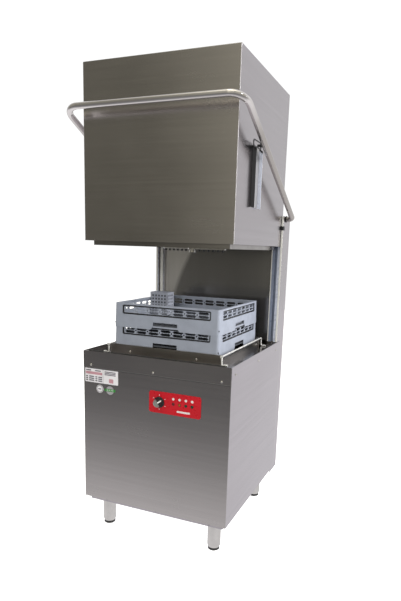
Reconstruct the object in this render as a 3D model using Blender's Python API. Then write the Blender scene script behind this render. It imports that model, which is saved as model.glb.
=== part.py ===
"""Hood-type commercial dishwasher with its hood raised and two plate racks on the guides.

Metres, +Z up. The front faces -Y, the origin is on the floor under the middle of the machine.
"""

import math

import bmesh
import bpy
from mathutils import Matrix, Vector

# ---------------------------------------------------------------- driving dimensions

GAP = 0.0003  # between pieces that rest on each other
SHEET = 0.0015  # folded stainless sheet

FRONT_Y = -0.3463  # front face of the cabinet's panel
CABINET_HALF = 0.341
CABINET_DEPTH = 0.702
CABINET_TOP = 0.823
PANEL_BOTTOM = 0.149
FASCIA_BOTTOM = 0.750
BASE_BOTTOM = 0.130
BASE_INSET = 0.019

COLUMN_HALF = 0.339
COLUMN_FRONT = 0.650
COLUMN_REAR = 0.7716
COLUMN_BOTTOM = 0.133
COLUMN_TOP = 1.430
BACK_PANEL_DEPTH = 0.6965
BACK_PANEL_TOP = 1.395

HOOD_HALF = 0.329
HOOD_FRONT = 0.0025
HOOD_REAR = 0.671
HOOD_BOTTOM = 1.288
HOOD_TOP = 1.970
SKIRT_HALF = 0.303
SKIRT_FRONT = 0.030
SKIRT_BOTTOM = 1.270
SKIRT_TOP = 1.330

HANDLE_HALF = 0.370
HANDLE_TUBE = 0.0135
HANDLE_BORE = 0.0115
HANDLE_FRONT = -0.0655
HANDLE_FRONT_Z = 1.7906
PIVOT_DEPTH = 0.692
PIVOT_Z = 1.418
ROLLER_REACH = 0.558  # from the pivot to the roller, along the arm
ROLLER_RADIUS = 0.005

RAIL_INNER = 0.283
RAIL_OUTER = 0.331
RAIL_FRONT = 0.672
RAIL_REAR = 0.6958
RAIL_LIP = 0.0185

CHAMBER_DEPTH = 0.362  # middle of the wash chamber, behind the front panel
DECK_Z = 0.798
TANK_RIM = CABINET_TOP - 0.003
BASIN_HALF = 0.240
BASIN_BOTTOM = 0.610

RACK_SIDE = 0.500
RACK_CENTRE_X = -0.0075
RACK_BOTTOM = 0.8307
RACK_HEIGHT = 0.1060
RACK_PITCH = 0.0898  # between stacked racks: each rim nests in the skirt of the rack above
RACK_TAPER = 0.0035
RACK_WALL = 0.003
RACK_UNDERSIDE = 0.0165
RACK_FLOOR = 0.0225
RACK_COLUMNS = 7

SUPPORT_HALF = 0.2635
SUPPORT_FRONT = 0.1035
SUPPORT_REAR = 0.624
SUPPORT_BOTTOM = 0.7998
SUPPORT_LEDGE = RACK_BOTTOM - 0.0020
SUPPORT_TOP = 0.8445

ARM_REACH = 0.225
SPINDLE_RADIUS = 0.012
SPINDLE_CLEARANCE = 0.0004
RISER_RADIUS = 0.017
RISER_Z = 1.332
RISER_DEPTH = 0.735

FOOT_HALF = 0.263
FOOT_FRONT = 0.079
FOOT_REAR = 0.642
FOOT_RADIUS = 0.029
FOOT_LIFT = 0.012  # from the floor to the lower edge of the steel sleeve

PANEL_LEFT = -0.017
PANEL_RIGHT = 0.218
PANEL_LOW = 0.596
PANEL_HIGH = 0.688
KNOB_X = 0.031
LAMP_Z = 0.643
LAMP_FIRST_X = 0.095
LAMP_PITCH = 0.0281

SPRING_X = 0.200
LEVER_REACH = 0.055
LEVER_ANGLE = math.radians(-50.0)  # below the horizontal, pointing back, with the hood up


def behind(distance):
    """World Y of a point this far behind the front panel's face."""
    return FRONT_Y + distance


OVERFLOW_AT = (-0.195, behind(CHAMBER_DEPTH + 0.195))
BASKET_LOW = (-0.2460, behind(0.420), RACK_BOTTOM + RACK_PITCH + RACK_FLOOR + GAP)
BASKET_HIGH = (-0.1535, behind(0.490), 1.053)


# ---------------------------------------------------------------- materials


def material(name, colour, metallic, roughness):
    made = bpy.data.materials.new(name)
    made.use_nodes = True
    shader = made.node_tree.nodes["Principled BSDF"]
    shader.inputs["Base Color"].default_value = (*colour, 1.0)
    shader.inputs["Metallic"].default_value = metallic
    shader.inputs["Roughness"].default_value = roughness
    made.diffuse_color = (*colour, 1.0)
    return made


def make_materials():
    return {
        "brushed": material("brushed_steel", (0.52, 0.51, 0.50), 1.0, 0.32),
        "satin": material("satin_steel", (0.60, 0.59, 0.60), 1.0, 0.38),
        "inner": material("inner_steel", (0.40, 0.39, 0.37), 1.0, 0.30),
        "polished": material("polished_steel", (0.74, 0.73, 0.72), 1.0, 0.14),
        "rail": material("rail_aluminium", (0.56, 0.60, 0.68), 1.0, 0.25),
        "plastic": material("rack_plastic", (0.33, 0.36, 0.41), 0.0, 0.45),
        "black": material("black_plastic", (0.02, 0.02, 0.022), 0.0, 0.45),
        "red": material("red_panel", (0.52, 0.012, 0.022), 0.0, 0.35),
        "red_lens": material("red_lens", (0.16, 0.004, 0.006), 0.0, 0.15),
        "amber_lens": material("amber_lens", (0.50, 0.14, 0.005), 0.0, 0.15),
        "green_lens": material("green_lens", (0.004, 0.06, 0.018), 0.0, 0.15),
        "spring": material("spring_steel", (0.30, 0.30, 0.31), 1.0, 0.35),
        "motor": material("motor_grey", (0.16, 0.17, 0.18), 0.4, 0.5),
        "enamel": material("box_grey", (0.45, 0.46, 0.46), 0.0, 0.5),
    }


# ---------------------------------------------------------------- mesh tools

TURN_TO_AXIS = {
    "X": Matrix(((0, 0, 1), (1, 0, 0), (0, 1, 0))),
    "Y": Matrix(((1, 0, 0), (0, 0, 1), (0, 1, 0))),
    "Z": Matrix.Identity(3),
}


def finish_object(name, shape, look, origin=(0.0, 0.0, 0.0), smooth=False):
    """A bmesh drawn in world coordinates becomes an object with its origin at a point."""
    bmesh.ops.recalc_face_normals(shape, faces=shape.faces)
    bmesh.ops.translate(shape, verts=shape.verts, vec=-Vector(origin))
    mesh = bpy.data.meshes.new(name)
    shape.to_mesh(mesh)
    shape.free()
    if smooth:
        mesh.shade_smooth()
        mesh.set_sharp_from_angle(angle=math.radians(35))
    if look:
        mesh.materials.append(look)
    made = bpy.data.objects.new(name, mesh)
    made.location = origin
    bpy.context.scene.collection.objects.link(made)
    return made


def tool_of(obj):
    """Make an object a hidden Boolean tool."""
    obj.hide_render = True
    obj.display_type = "WIRE"
    obj.name = "tool_" + obj.name
    return obj


def combine(obj, operation, tools):
    for tool in tools:
        step = obj.modifiers.new(f"{operation.lower()}_{tool.name}", "BOOLEAN")
        step.operation = operation
        step.solver = "EXACT"
        step.object = tool_of(tool)
    return obj


def cut(obj, *tools):
    return combine(obj, "DIFFERENCE", tools)


def weld_on(obj, *tools):
    return combine(obj, "UNION", tools)


def bridge(shape, loops, closed):
    """Skin a run of equal point loops; cap both ends, or join the last loop to the first."""
    rings = [[shape.verts.new(point) for point in loop] for loop in loops]
    pairs = list(zip(rings, rings[1:]))
    if closed:
        pairs.append((rings[-1], rings[0]))
    else:
        shape.faces.new(rings[0])
        shape.faces.new(rings[-1])
    for low, high in pairs:
        for here in range(len(low)):
            after = (here + 1) % len(low)
            shape.faces.new((low[here], low[after], high[after], high[here]))


def block(name, low, high, look, origin=(0.0, 0.0, 0.0)):
    """A box between two opposite corners."""
    outline = [(low[0], low[1]), (high[0], low[1]), (high[0], high[1]), (low[0], high[1])]
    return extrusion(name, outline, "Z", low[2], high[2], look, origin)


def extrusion(name, outline, axis, start, end, look, origin=(0.0, 0.0, 0.0)):
    """Push a flat outline along X, Y or Z. Its two numbers are the other axes, in turn.

    Along X the outline is (y, z), along Y it is (x, z), and along Z it is (x, y).
    """
    turn = TURN_TO_AXIS[axis]
    shape = bmesh.new()
    loops = [[turn @ Vector((a, b, level)) for a, b in outline] for level in (start, end)]
    bridge(shape, loops, closed=False)
    return finish_object(name, shape, look, origin)


def circle(centre, radius, sides):
    """Points of a regular outline around a centre."""
    step = 2 * math.pi / sides
    return [
        (centre[0] + radius * math.cos(k * step), centre[1] + radius * math.sin(k * step))
        for k in range(sides)
    ]


def rod(name, axis, centre, radius, start, end, look, sides=24, origin=(0.0, 0.0, 0.0)):
    """A straight round bar along an axis, with its centre in that axis's outline plane."""
    made = extrusion(name, circle(centre, radius, sides), axis, start, end, look, origin)
    made.data.shade_smooth()
    made.data.set_sharp_from_angle(angle=math.radians(35))
    return made


def turned(name, profile, centre, look, sides=24, axis="Z", ring=False):
    """Revolve (radius, height) points about a line through a centre.

    The heights run along the axis from zero at the centre. A ring's profile is closed, and any
    other starts and ends with a flat disc.
    """
    turn = TURN_TO_AXIS[axis]
    shape = bmesh.new()
    loops = [
        [
            Vector(centre) + turn @ Vector((a, b, height))
            for a, b in circle((0.0, 0.0), radius, sides)
        ]
        for radius, height in profile
    ]
    bridge(shape, loops, closed=ring)
    return finish_object(name, shape, look, centre, smooth=True)


def rounded_rectangle(low, high, radius, segments):
    """Corner-rounded outline between two (x, y) corners, anticlockwise from the low corner."""
    if not segments:
        return [(low[0], low[1]), (high[0], low[1]), (high[0], high[1]), (low[0], high[1])]
    centres = [
        (low[0] + radius, low[1] + radius, math.pi),
        (high[0] - radius, low[1] + radius, 1.5 * math.pi),
        (high[0] - radius, high[1] - radius, 0.0),
        (low[0] + radius, high[1] - radius, 0.5 * math.pi),
    ]
    points = []
    for x, y, first in centres:
        for k in range(segments + 1):
            angle = first + 0.5 * math.pi * k / segments
            points.append((x + radius * math.cos(angle), y + radius * math.sin(angle)))
    return points


def pan(name, low, high, steps, look, radius=0.0, segments=0, ring=False, origin=(0, 0, 0)):
    """A rectangular pressing: steps of (inset from the footprint, z), skinned in order."""
    shape = bmesh.new()
    loops = []
    for inset, z in steps:
        corner = max(radius - inset, 0.001)
        outline = rounded_rectangle(
            (low[0] + inset, low[1] + inset),
            (high[0] - inset, high[1] - inset),
            corner,
            segments,
        )
        loops.append([(x, y, z) for x, y in outline])
    bridge(shape, loops, closed=ring)
    return finish_object(name, shape, look, origin, smooth=segments > 0)


def bent_path(corners, radius, segments):
    """A polyline with its inner corners rounded to a bend radius."""
    corners = [Vector(corner) for corner in corners]
    path = [corners[0]]
    for before, here, after in zip(corners, corners[1:], corners[2:]):
        back = (before - here).normalized()
        ahead = (after - here).normalized()
        half = 0.5 * back.angle(ahead)
        centre = here + (back + ahead).normalized() * (radius / math.sin(half))
        first = here + back * (radius / math.tan(half)) - centre
        last = here + ahead * (radius / math.tan(half)) - centre
        for k in range(segments + 1):
            path.append(centre + first.slerp(last, k / segments).normalized() * radius)
    path.append(corners[-1])
    return path


def bent_tube(name, path, outer, inner, look, sides=12, origin=(0.0, 0.0, 0.0)):
    """Sweep a round section along a path; an inner radius of zero makes a solid rod."""
    tangents = [(b - a).normalized() for a, b in zip(path, path[1:])]
    tangents = (
        [tangents[0]]
        + [(a + b).normalized() for a, b in zip(tangents, tangents[1:])]
        + [tangents[-1]]
    )
    side = tangents[0].orthogonal().normalized()
    outer_loops, inner_loops = [], []
    for point, along in zip(path, tangents):
        side = (side - along * side.dot(along)).normalized()
        up = along.cross(side)
        ring = [side * a + up * b for a, b in circle((0.0, 0.0), 1.0, sides)]
        outer_loops.append([point + spoke * outer for spoke in ring])
        inner_loops.append([point + spoke * inner for spoke in ring])
    shape = bmesh.new()
    if inner:
        bridge(shape, outer_loops + inner_loops[::-1], closed=True)
    else:
        bridge(shape, outer_loops, closed=False)
    return finish_object(name, shape, look, origin, smooth=True)


def mirrored(half, points):
    """Outline points on the +X side, with X set by a side of +1 or -1."""
    ordered = [(half * a, b) for a, b in points]
    return ordered if half > 0 else ordered[::-1]


def pivot(name, location):
    """An empty on a joint's axis."""
    made = bpy.data.objects.new(name, None)
    made.location = location
    bpy.context.scene.collection.objects.link(made)
    return made


def attach(child, parent):
    """Parent an object without moving it."""
    bpy.context.view_layer.update()
    child.parent = parent
    child.matrix_parent_inverse = parent.matrix_world.inverted()


SIDES = (("left", -1), ("right", 1))

# ---------------------------------------------------------------- cabinet


def make_base_frame(looks):
    low = (-CABINET_HALF + BASE_INSET, behind(BASE_INSET))
    high = (CABINET_HALF - BASE_INSET, behind(COLUMN_FRONT - 0.002))
    rim = 0.172
    return pan(
        "base_frame",
        low,
        high,
        [
            (0.0, BASE_BOTTOM),
            (0.0, rim),
            (SHEET, rim),
            (SHEET, BASE_BOTTOM + SHEET),
        ],
        looks["satin"],
    )


def make_front_panel(looks):
    edge = CABINET_HALF
    back_edge = edge - SHEET - GAP
    inner = back_edge - SHEET
    front, back, lip = behind(0.0), behind(SHEET), behind(0.014)
    outline = [
        (-edge, front),
        (edge, front),
        (edge, back),
        (back_edge, back),
        (back_edge, lip),
        (inner, lip),
        (inner, back),
        (-inner, back),
        (-inner, lip),
        (-back_edge, lip),
        (-back_edge, back),
        (-edge, back),
    ]
    top = FASCIA_BOTTOM + 0.022
    return extrusion("front_panel", outline, "Z", PANEL_BOTTOM, top, looks["brushed"])


def make_top_fascia(looks):
    front, back = behind(-GAP - SHEET), behind(-GAP)
    hem = behind(0.0032)
    outline = [
        (front, FASCIA_BOTTOM),
        (back, FASCIA_BOTTOM),
        (back, CABINET_TOP - SHEET),
        (hem, CABINET_TOP - SHEET),
        (hem, CABINET_TOP),
        (front, CABINET_TOP),
    ]
    return extrusion(
        "top_fascia", outline, "X", -CABINET_HALF, CABINET_HALF, looks["brushed"]
    )


def make_side_panels(looks):
    front, rear = behind(SHEET + GAP), behind(CABINET_DEPTH)
    flange = CABINET_HALF - 0.016
    for side_name, side in SIDES:
        outline = mirrored(
            side,
            [
                (flange, PANEL_BOTTOM),
                (CABINET_HALF, PANEL_BOTTOM),
                (CABINET_HALF, CABINET_TOP),
                (CABINET_HALF - SHEET, CABINET_TOP),
                (CABINET_HALF - SHEET, PANEL_BOTTOM + SHEET),
                (flange, PANEL_BOTTOM + SHEET),
            ],
        )
        panel = extrusion(
            f"side_panel_{side_name}", outline, "Y", front, rear, looks["satin"]
        )
        corner = FASCIA_BOTTOM - 0.005
        notch = block(
            f"fascia_notch_{side_name}",
            (min(side * 0.3, side * 0.4), behind(-0.01), corner),
            (max(side * 0.3, side * 0.4), behind(0.0036), CABINET_TOP + 0.01),
            None,
        )
        column_notch = block(
            f"column_notch_{side_name}",
            (min(side * 0.3, side * (COLUMN_HALF + GAP)), behind(COLUMN_FRONT - 0.002), 0.14),
            (max(side * 0.3, side * (COLUMN_HALF + GAP)), behind(0.8), 0.16),
            None,
        )
        return_notch = block(
            f"return_notch_{side_name}",
            (min(side * 0.3, side * (COLUMN_HALF + GAP)), behind(-0.01), 0.14),
            (max(side * 0.3, side * (COLUMN_HALF + GAP)), behind(0.016), 0.16),
            None,
        )
        cut(panel, notch, column_notch, return_notch)


def make_column(looks):
    outer, inner = COLUMN_HALF, COLUMN_HALF - SHEET
    front, rear = behind(COLUMN_FRONT), behind(COLUMN_REAR)
    outline = [
        (outer, front),
        (outer, rear),
        (-outer, rear),
        (-outer, front),
        (-inner, front),
        (-inner, rear - SHEET),
        (inner, rear - SHEET),
        (inner, front),
    ]
    shell = extrusion(
        "column_shell", outline, "Z", COLUMN_BOTTOM, COLUMN_TOP, looks["satin"]
    )
    bearing = rod(
        "shaft_holes",
        "X",
        (behind(PIVOT_DEPTH), PIVOT_Z),
        0.0108,
        -0.4,
        0.4,
        None,
        16,
    )
    cut(shell, bearing)
    cap_front = behind(PIVOT_DEPTH + 0.014)
    cap_rear = rear - SHEET - GAP
    lip = COLUMN_TOP - 0.016
    cap_outline = [
        (cap_front, COLUMN_TOP - SHEET),
        (cap_rear - SHEET, COLUMN_TOP - SHEET),
        (cap_rear - SHEET, lip),
        (cap_rear, lip),
        (cap_rear, COLUMN_TOP),
        (cap_front, COLUMN_TOP),
    ]
    extrusion("column_cap", cap_outline, "X", -inner + GAP, inner - GAP, looks["satin"])


def make_back_panel(looks):
    half = COLUMN_HALF - SHEET - GAP
    panel = block(
        "chamber_back_panel",
        (-half, behind(BACK_PANEL_DEPTH), DECK_Z - 0.060),
        (half, behind(BACK_PANEL_DEPTH + SHEET), BACK_PANEL_TOP),
        looks["inner"],
    )
    passage = rod(
        "riser_hole",
        "Y",
        (0.0, RISER_Z),
        RISER_RADIUS + 0.003,
        behind(0.65),
        behind(0.75),
        None,
        20,
    )
    return cut(panel, passage)


def make_rails(looks):
    front, rear = behind(RAIL_FRONT), behind(RAIL_REAR)
    lip = RAIL_LIP
    wall = SHEET
    low = TANK_RIM + GAP
    for side_name, side in SIDES:
        outline = mirrored(
            side,
            [
                (RAIL_INNER, front),
                (RAIL_INNER + lip, front),
                (RAIL_INNER + lip, front + wall),
                (RAIL_INNER + wall, front + wall),
                (RAIL_INNER + wall, rear - wall),
                (RAIL_OUTER - wall, rear - wall),
                (RAIL_OUTER - wall, front + wall),
                (RAIL_OUTER - lip, front + wall),
                (RAIL_OUTER - lip, front),
                (RAIL_OUTER, front),
                (RAIL_OUTER, rear),
                (RAIL_INNER, rear),
            ],
        )
        extrusion(
            f"guide_rail_{side_name}", outline, "Z", low, BACK_PANEL_TOP, looks["rail"]
        )


# ---------------------------------------------------------------- tank and rack support


def make_wash_tank(looks):
    half = CABINET_HALF - SHEET - GAP - SHEET - GAP
    low = (-half, behind(0.0042))
    high = (half, behind(BACK_PANEL_DEPTH - GAP))
    rim = TANK_RIM
    shape = bmesh.new()
    basin_low = (-BASIN_HALF, behind(CHAMBER_DEPTH - BASIN_HALF))
    basin_high = (BASIN_HALF, behind(CHAMBER_DEPTH + BASIN_HALF))
    steps = [
        (basin_low, basin_high, 0.0, BASIN_BOTTOM),
        (basin_low, basin_high, 0.0, DECK_Z),
        (low, high, 0.0, DECK_Z),
        (low, high, 0.0, rim),
        (low, high, SHEET, rim),
        (low, high, SHEET, DECK_Z + SHEET),
        (basin_low, basin_high, SHEET, DECK_Z + SHEET),
        (basin_low, basin_high, SHEET, BASIN_BOTTOM + SHEET),
    ]
    loops = []
    for corner_low, corner_high, inset, z in steps:
        radius = 0.030 if corner_low is basin_low else 0.004
        outline = rounded_rectangle(
            (corner_low[0] + inset, corner_low[1] + inset),
            (corner_high[0] - inset, corner_high[1] - inset),
            radius - inset,
            3,
        )
        loops.append([(x, y, z) for x, y in outline])
    bridge(shape, loops, closed=False)
    tank = finish_object("wash_tank", shape, looks["inner"], smooth=True)
    drain = rod(
        "drain_hole",
        "Z",
        OVERFLOW_AT,
        0.014,
        BASIN_BOTTOM - 0.01,
        BASIN_BOTTOM + 0.01,
        None,
        16,
    )
    return cut(tank, drain)


def make_strainer(looks):
    half = BASIN_HALF - SHEET - 0.003
    plate = pan(
        "tank_strainer",
        (-half, behind(CHAMBER_DEPTH - half)),
        (half, behind(CHAMBER_DEPTH + half)),
        [(0.0, 0.700), (0.0, 0.718), (SHEET, 0.718), (SHEET, 0.700 + SHEET)],
        looks["inner"],
        radius=0.028,
        segments=2,
    )
    post_hole = rod(
        "post_hole", "Z", (0.0, behind(CHAMBER_DEPTH)), 0.034, 0.69, 0.73, None, 20
    )
    pipe_hole = rod("pipe_hole", "Z", OVERFLOW_AT, 0.024, 0.69, 0.73, None, 16)
    return cut(plate, post_hole, pipe_hole)


def make_rack_support(looks):
    """A ring of angle with a ledge under the rack, and a stop plate in front and behind."""
    low = (RACK_CENTRE_X - SUPPORT_HALF, behind(SUPPORT_FRONT))
    high = (RACK_CENTRE_X + SUPPORT_HALF, behind(SUPPORT_REAR))
    ledge = 0.030
    support = pan(
        "rack_support",
        low,
        high,
        [
            (0.0, SUPPORT_BOTTOM),
            (0.0, SUPPORT_TOP),
            (SHEET, SUPPORT_TOP),
            (SHEET, SUPPORT_LEDGE),
            (ledge, SUPPORT_LEDGE),
            (ledge, SUPPORT_LEDGE - SHEET),
            (SHEET, SUPPORT_LEDGE - SHEET),
            (SHEET, SUPPORT_BOTTOM),
        ],
        looks["inner"],
        radius=0.006,
        segments=2,
        ring=True,
    )
    corner = 0.012
    sides_low = (low[0] - 0.01, low[1] + corner, SUPPORT_LEDGE + GAP)
    sides_high = (high[0] + 0.01, high[1] - corner, SUPPORT_TOP + 0.01)
    return cut(support, block("support_sides", sides_low, sides_high, None))


def make_rack_guides(looks):
    radius = 0.0035
    foot = DECK_Z + SHEET + radius + GAP
    top = 0.8405
    reach = SUPPORT_HALF + radius + 0.002
    tip = 0.294
    front, rear = behind(0.098), behind(0.640)
    for side_name, side in SIDES:
        inner = RACK_CENTRE_X + side * reach
        outer = RACK_CENTRE_X + side * tip
        corners = [
            (outer, front, foot),
            (inner, front, foot),
            (inner, front, top),
            (inner, rear, top),
            (inner, rear, foot),
            (outer, rear, foot),
        ]
        path = bent_path(corners, 0.008, 3)
        bent_tube(
            f"rack_guide_{side_name}", path, radius, 0.0, looks["polished"], sides=8
        )


def make_tank_heater(looks):
    z = 0.650
    front, rear = behind(CHAMBER_DEPTH - 0.232), behind(CHAMBER_DEPTH + 0.150)
    corners = [(0.060, front, z), (0.060, rear, z), (0.180, rear, z), (0.180, front, z)]
    path = bent_path(corners, 0.030, 5)
    bent_tube("tank_heater", path, 0.0045, 0.0, looks["polished"], sides=8)


def make_lower_manifold(looks):
    profile = [
        (0.038, 0.0),
        (0.038, 0.006),
        (0.024, 0.012),
        (0.024, 0.146),
        (SPINDLE_RADIUS, 0.150),
        (SPINDLE_RADIUS, 0.196),
        (0.008, 0.199),
    ]
    centre = (0.0, behind(CHAMBER_DEPTH), BASIN_BOTTOM + SHEET + GAP)
    turned("lower_manifold", profile, centre, looks["polished"], 20)


def make_overflow_pipe(looks):
    profile = [
        (0.0185, 0.0),
        (0.0185, 0.160),
        (0.0150, 0.166),
        (0.0120, 0.166),
        (0.0165, 0.158),
        (0.0165, 0.0),
    ]
    centre = (*OVERFLOW_AT, BASIN_BOTTOM + SHEET + GAP)
    return turned("overflow_pipe", profile, centre, looks["polished"], 16, ring=True)


# ---------------------------------------------------------------- machinery in the cabinet


def make_pump(looks):
    axis_depth, axis_z = behind(0.500), 0.290
    side_view = (axis_depth, axis_z)
    volute = rod("wash_pump", "X", side_view, 0.072, 0.020, 0.068, looks["motor"])
    mouth = (0.042, axis_z + 0.050)
    outlet = rod("pump_outlet", "Y", mouth, 0.0215, axis_depth, behind(0.590), None, 20)
    inlet = rod("pump_inlet", "X", side_view, 0.024, -0.050, 0.030, None, 20)
    below = BASIN_BOTTOM - 0.002
    throat = rod("pump_throat", "Z", (-0.026, axis_depth), 0.022, axis_z, below, None, 20)
    weld_on(volute, outlet, inlet, throat)
    shell = [(0.046, 0.0), (0.060, 0.0), (0.060, 0.150), (0.056, 0.156)]
    shell += [(0.056, 0.190), (0.052, 0.194), (0.046, 0.194)]
    turned(
        "pump_motor", shell, (0.0685, axis_depth, axis_z), looks["motor"], 20, "X", ring=True
    )
    return volute


def make_wash_riser(looks):
    start = (0.042, behind(0.5905), 0.340)
    corners = [
        start,
        (0.042, behind(RISER_DEPTH), 0.340),
        (0.042, behind(RISER_DEPTH), 0.560),
        (0.0, behind(RISER_DEPTH), 0.680),
        (0.0, behind(RISER_DEPTH), RISER_Z),
        (0.0, behind(CHAMBER_DEPTH + 0.0345), RISER_Z),
    ]
    path = bent_path(corners, 0.034, 3)
    bent_tube("wash_riser", path, RISER_RADIUS, RISER_RADIUS - 0.002, looks["polished"], 10)


def make_boiler(looks):
    wall = 0.002
    neck = 0.030
    profile = [(neck, 0.0), (0.090, 0.020), (0.095, 0.050)]
    profile += [(0.095, 0.330), (0.090, 0.360), (neck, 0.380)]
    inside = [(radius - wall, height) for radius, height in profile[1:-1]][::-1]
    lining = [(neck, 0.380 - wall), *inside, (neck, wall)]
    lid = [(0.012, 0.380), (0.012, 0.380 - wall)]
    centre = (-0.205, behind(0.440), BASE_BOTTOM + SHEET + GAP)
    turned(
        "rinse_boiler", profile + lid + lining, centre, looks["satin"], 20, ring=True
    )


def make_electrical_box(looks):
    low, high = 0.420, 0.735
    return pan(
        "electrical_box",
        (-0.110, behind(0.020)),
        (0.270, behind(0.106)),
        [(0.0, high), (0.0, low), (SHEET, low), (SHEET, high - SHEET)],
        looks["enamel"],
        radius=0.004,
        segments=1,
    )


# ---------------------------------------------------------------- control panel


def make_control_panel(looks):
    thickness = 0.0015
    back = behind(-GAP)
    outline = rounded_rectangle((PANEL_LEFT, PANEL_LOW), (PANEL_RIGHT, PANEL_HIGH), 0.010, 4)
    extrusion("control_panel", outline, "Y", back - thickness, back, looks["red"])
    face = back - thickness - GAP
    colours = ("red_lens", "amber_lens", "green_lens", "green_lens")
    for number, colour in enumerate(colours):
        x = LAMP_FIRST_X + number * LAMP_PITCH
        profile = [(0.0052, 0.0), (0.0052, -0.0016), (0.0040, -0.0032), (0.0018, -0.0040)]
        turned(
            f"pilot_lamp_{number + 1}", profile, (x, face, LAMP_Z), looks[colour], 16, "Y"
        )
    return face


def make_knob(looks, face):
    centre = (KNOB_X, face, LAMP_Z)
    profile = [(0.0235, 0.0), (0.0235, -0.004), (0.0215, -0.006)]
    profile += [(0.0180, -0.0075), (0.0165, -0.0190), (0.0150, -0.0205)]
    knob = turned("selector_knob", profile, centre, looks["black"], 24, "Y")
    grip = block(
        "knob_grip",
        (-0.0048, -0.0250, -0.0195),
        (0.0048, -0.0080, 0.0195),
        None,
    )
    grip.rotation_euler = (0.0, math.radians(50.0), 0.0)
    grip.location = centre
    weld_on(knob, grip)
    return knob


# ---------------------------------------------------------------- wash arms and manifolds


def make_arm(name, z_low, z_high, width, reach, turn, hub, looks):
    """A spray arm: two tapered blades on a round hub with a bore for the spindle."""
    centre = Vector((0.0, behind(CHAMBER_DEPTH)))
    blade_angle = math.asin(0.5 * width / hub)
    outline = []
    for first in (0.0, math.pi):
        ends = [(reach - 0.010, -0.5 * width), (reach, -0.3 * width)]
        ends += [(reach, 0.3 * width), (reach - 0.010, 0.5 * width)]
        for along, across in ends:
            heading = Matrix.Rotation(first + turn, 2)
            outline.append(tuple(centre + heading @ Vector((along, across))))
        for k in range(5):
            angle = blade_angle + (math.pi - 2 * blade_angle) * k / 4
            heading = Matrix.Rotation(first + turn + angle, 2)
            outline.append(tuple(centre + heading @ Vector((hub, 0.0))))
    origin = (centre.x, centre.y, z_low)
    arm = extrusion(name, outline, "Z", z_low, z_high, looks["polished"], origin)
    bore = rod(
        f"{name}_bore",
        "Z",
        tuple(centre),
        SPINDLE_RADIUS + SPINDLE_CLEARANCE,
        z_low - 0.01,
        z_high + 0.01,
        None,
        20,
    )
    return cut(arm, bore)


def make_arms(looks):
    flat, steep = math.radians(6.0), math.radians(-28.0)
    return {
        "upper_wash_arm": make_arm(
            "upper_wash_arm", 1.279, 1.299, 0.034, ARM_REACH, flat, 0.026, looks
        ),
        "upper_rinse_arm": make_arm(
            "upper_rinse_arm", 1.264, 1.275, 0.014, ARM_REACH, steep, 0.022, looks
        ),
        "lower_wash_arm": make_arm(
            "lower_wash_arm", 0.764, 0.782, 0.034, ARM_REACH, steep, 0.026, looks
        ),
        "lower_rinse_arm": make_arm(
            "lower_rinse_arm", 0.787, 0.798, 0.014, ARM_REACH, flat, 0.022, looks
        ),
    }


def make_upper_manifold(looks):
    centre = (0.0, behind(CHAMBER_DEPTH), 1.247)
    profile = [
        (0.010, 0.0),
        (0.016, 0.003),
        (0.016, 0.012),
        (SPINDLE_RADIUS, 0.0135),
        (SPINDLE_RADIUS, 0.056),
        (0.026, 0.058),
        (0.030, 0.064),
        (0.030, 0.104),
        (0.024, 0.112),
    ]
    head = turned("upper_manifold", profile, centre, looks["polished"], 20)
    neck = rod(
        "manifold_neck",
        "Y",
        (0.0, RISER_Z),
        0.0185,
        behind(CHAMBER_DEPTH),
        behind(CHAMBER_DEPTH + 0.034),
        None,
        20,
    )
    return weld_on(head, neck)


# ---------------------------------------------------------------- feet


def make_feet(looks):
    pads = {}
    for end, distance in (("front", FOOT_FRONT), ("rear", FOOT_REAR)):
        for side_name, side in SIDES:
            place = (side * FOOT_HALF, behind(distance))
            height = BASE_BOTTOM - GAP - FOOT_LIFT
            plug = height - 0.020
            sleeve_profile = [
                (0.0240, 0.0),
                (FOOT_RADIUS, 0.010),
                (FOOT_RADIUS, height),
                (0.0070, height),
                (0.0070, plug),
                (FOOT_RADIUS - SHEET, plug),
                (FOOT_RADIUS - SHEET, 0.010),
                (0.0240 - SHEET, 0.0),
            ]
            turned(
                f"foot_sleeve_{end}_{side_name}",
                sleeve_profile,
                (*place, FOOT_LIFT),
                looks["polished"],
                16,
                ring=True,
            )
            pad_profile = [
                (0.0230, 0.0),
                (0.0250, 0.003),
                (0.0250, 0.010),
                (0.0060, 0.0115),
                (0.0060, 0.114),
            ]
            name = f"foot_pad_{end}_{side_name}"
            pads[name] = turned(name, pad_profile, (*place, 0.0), looks["black"], 16)
    return pads


# ---------------------------------------------------------------- racks


def window_tools(name, z_low, z_high, along):
    """Bars that cut the row of rack windows through both opposite walls."""
    centre = (RACK_CENTRE_X, behind(CHAMBER_DEPTH))[along]
    span = 0.418
    pitch = span / RACK_COLUMNS
    bar = 0.008
    shape = bmesh.new()
    far = 0.5
    for column in range(RACK_COLUMNS):
        first = centre - 0.5 * span + column * pitch + 0.5 * bar
        last = first + pitch - bar
        window = [(first, z_low), (last, z_low), (last, z_high), (first, z_high)]
        if along == 0:
            middle = behind(CHAMBER_DEPTH)
            loops = [[(a, middle + s * far, b) for a, b in window] for s in (-1, 1)]
        else:
            loops = [[(s * far, a, b) for a, b in window] for s in (-1, 1)]
        bridge(shape, loops, closed=False)
    return finish_object(name, shape, None)


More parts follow.
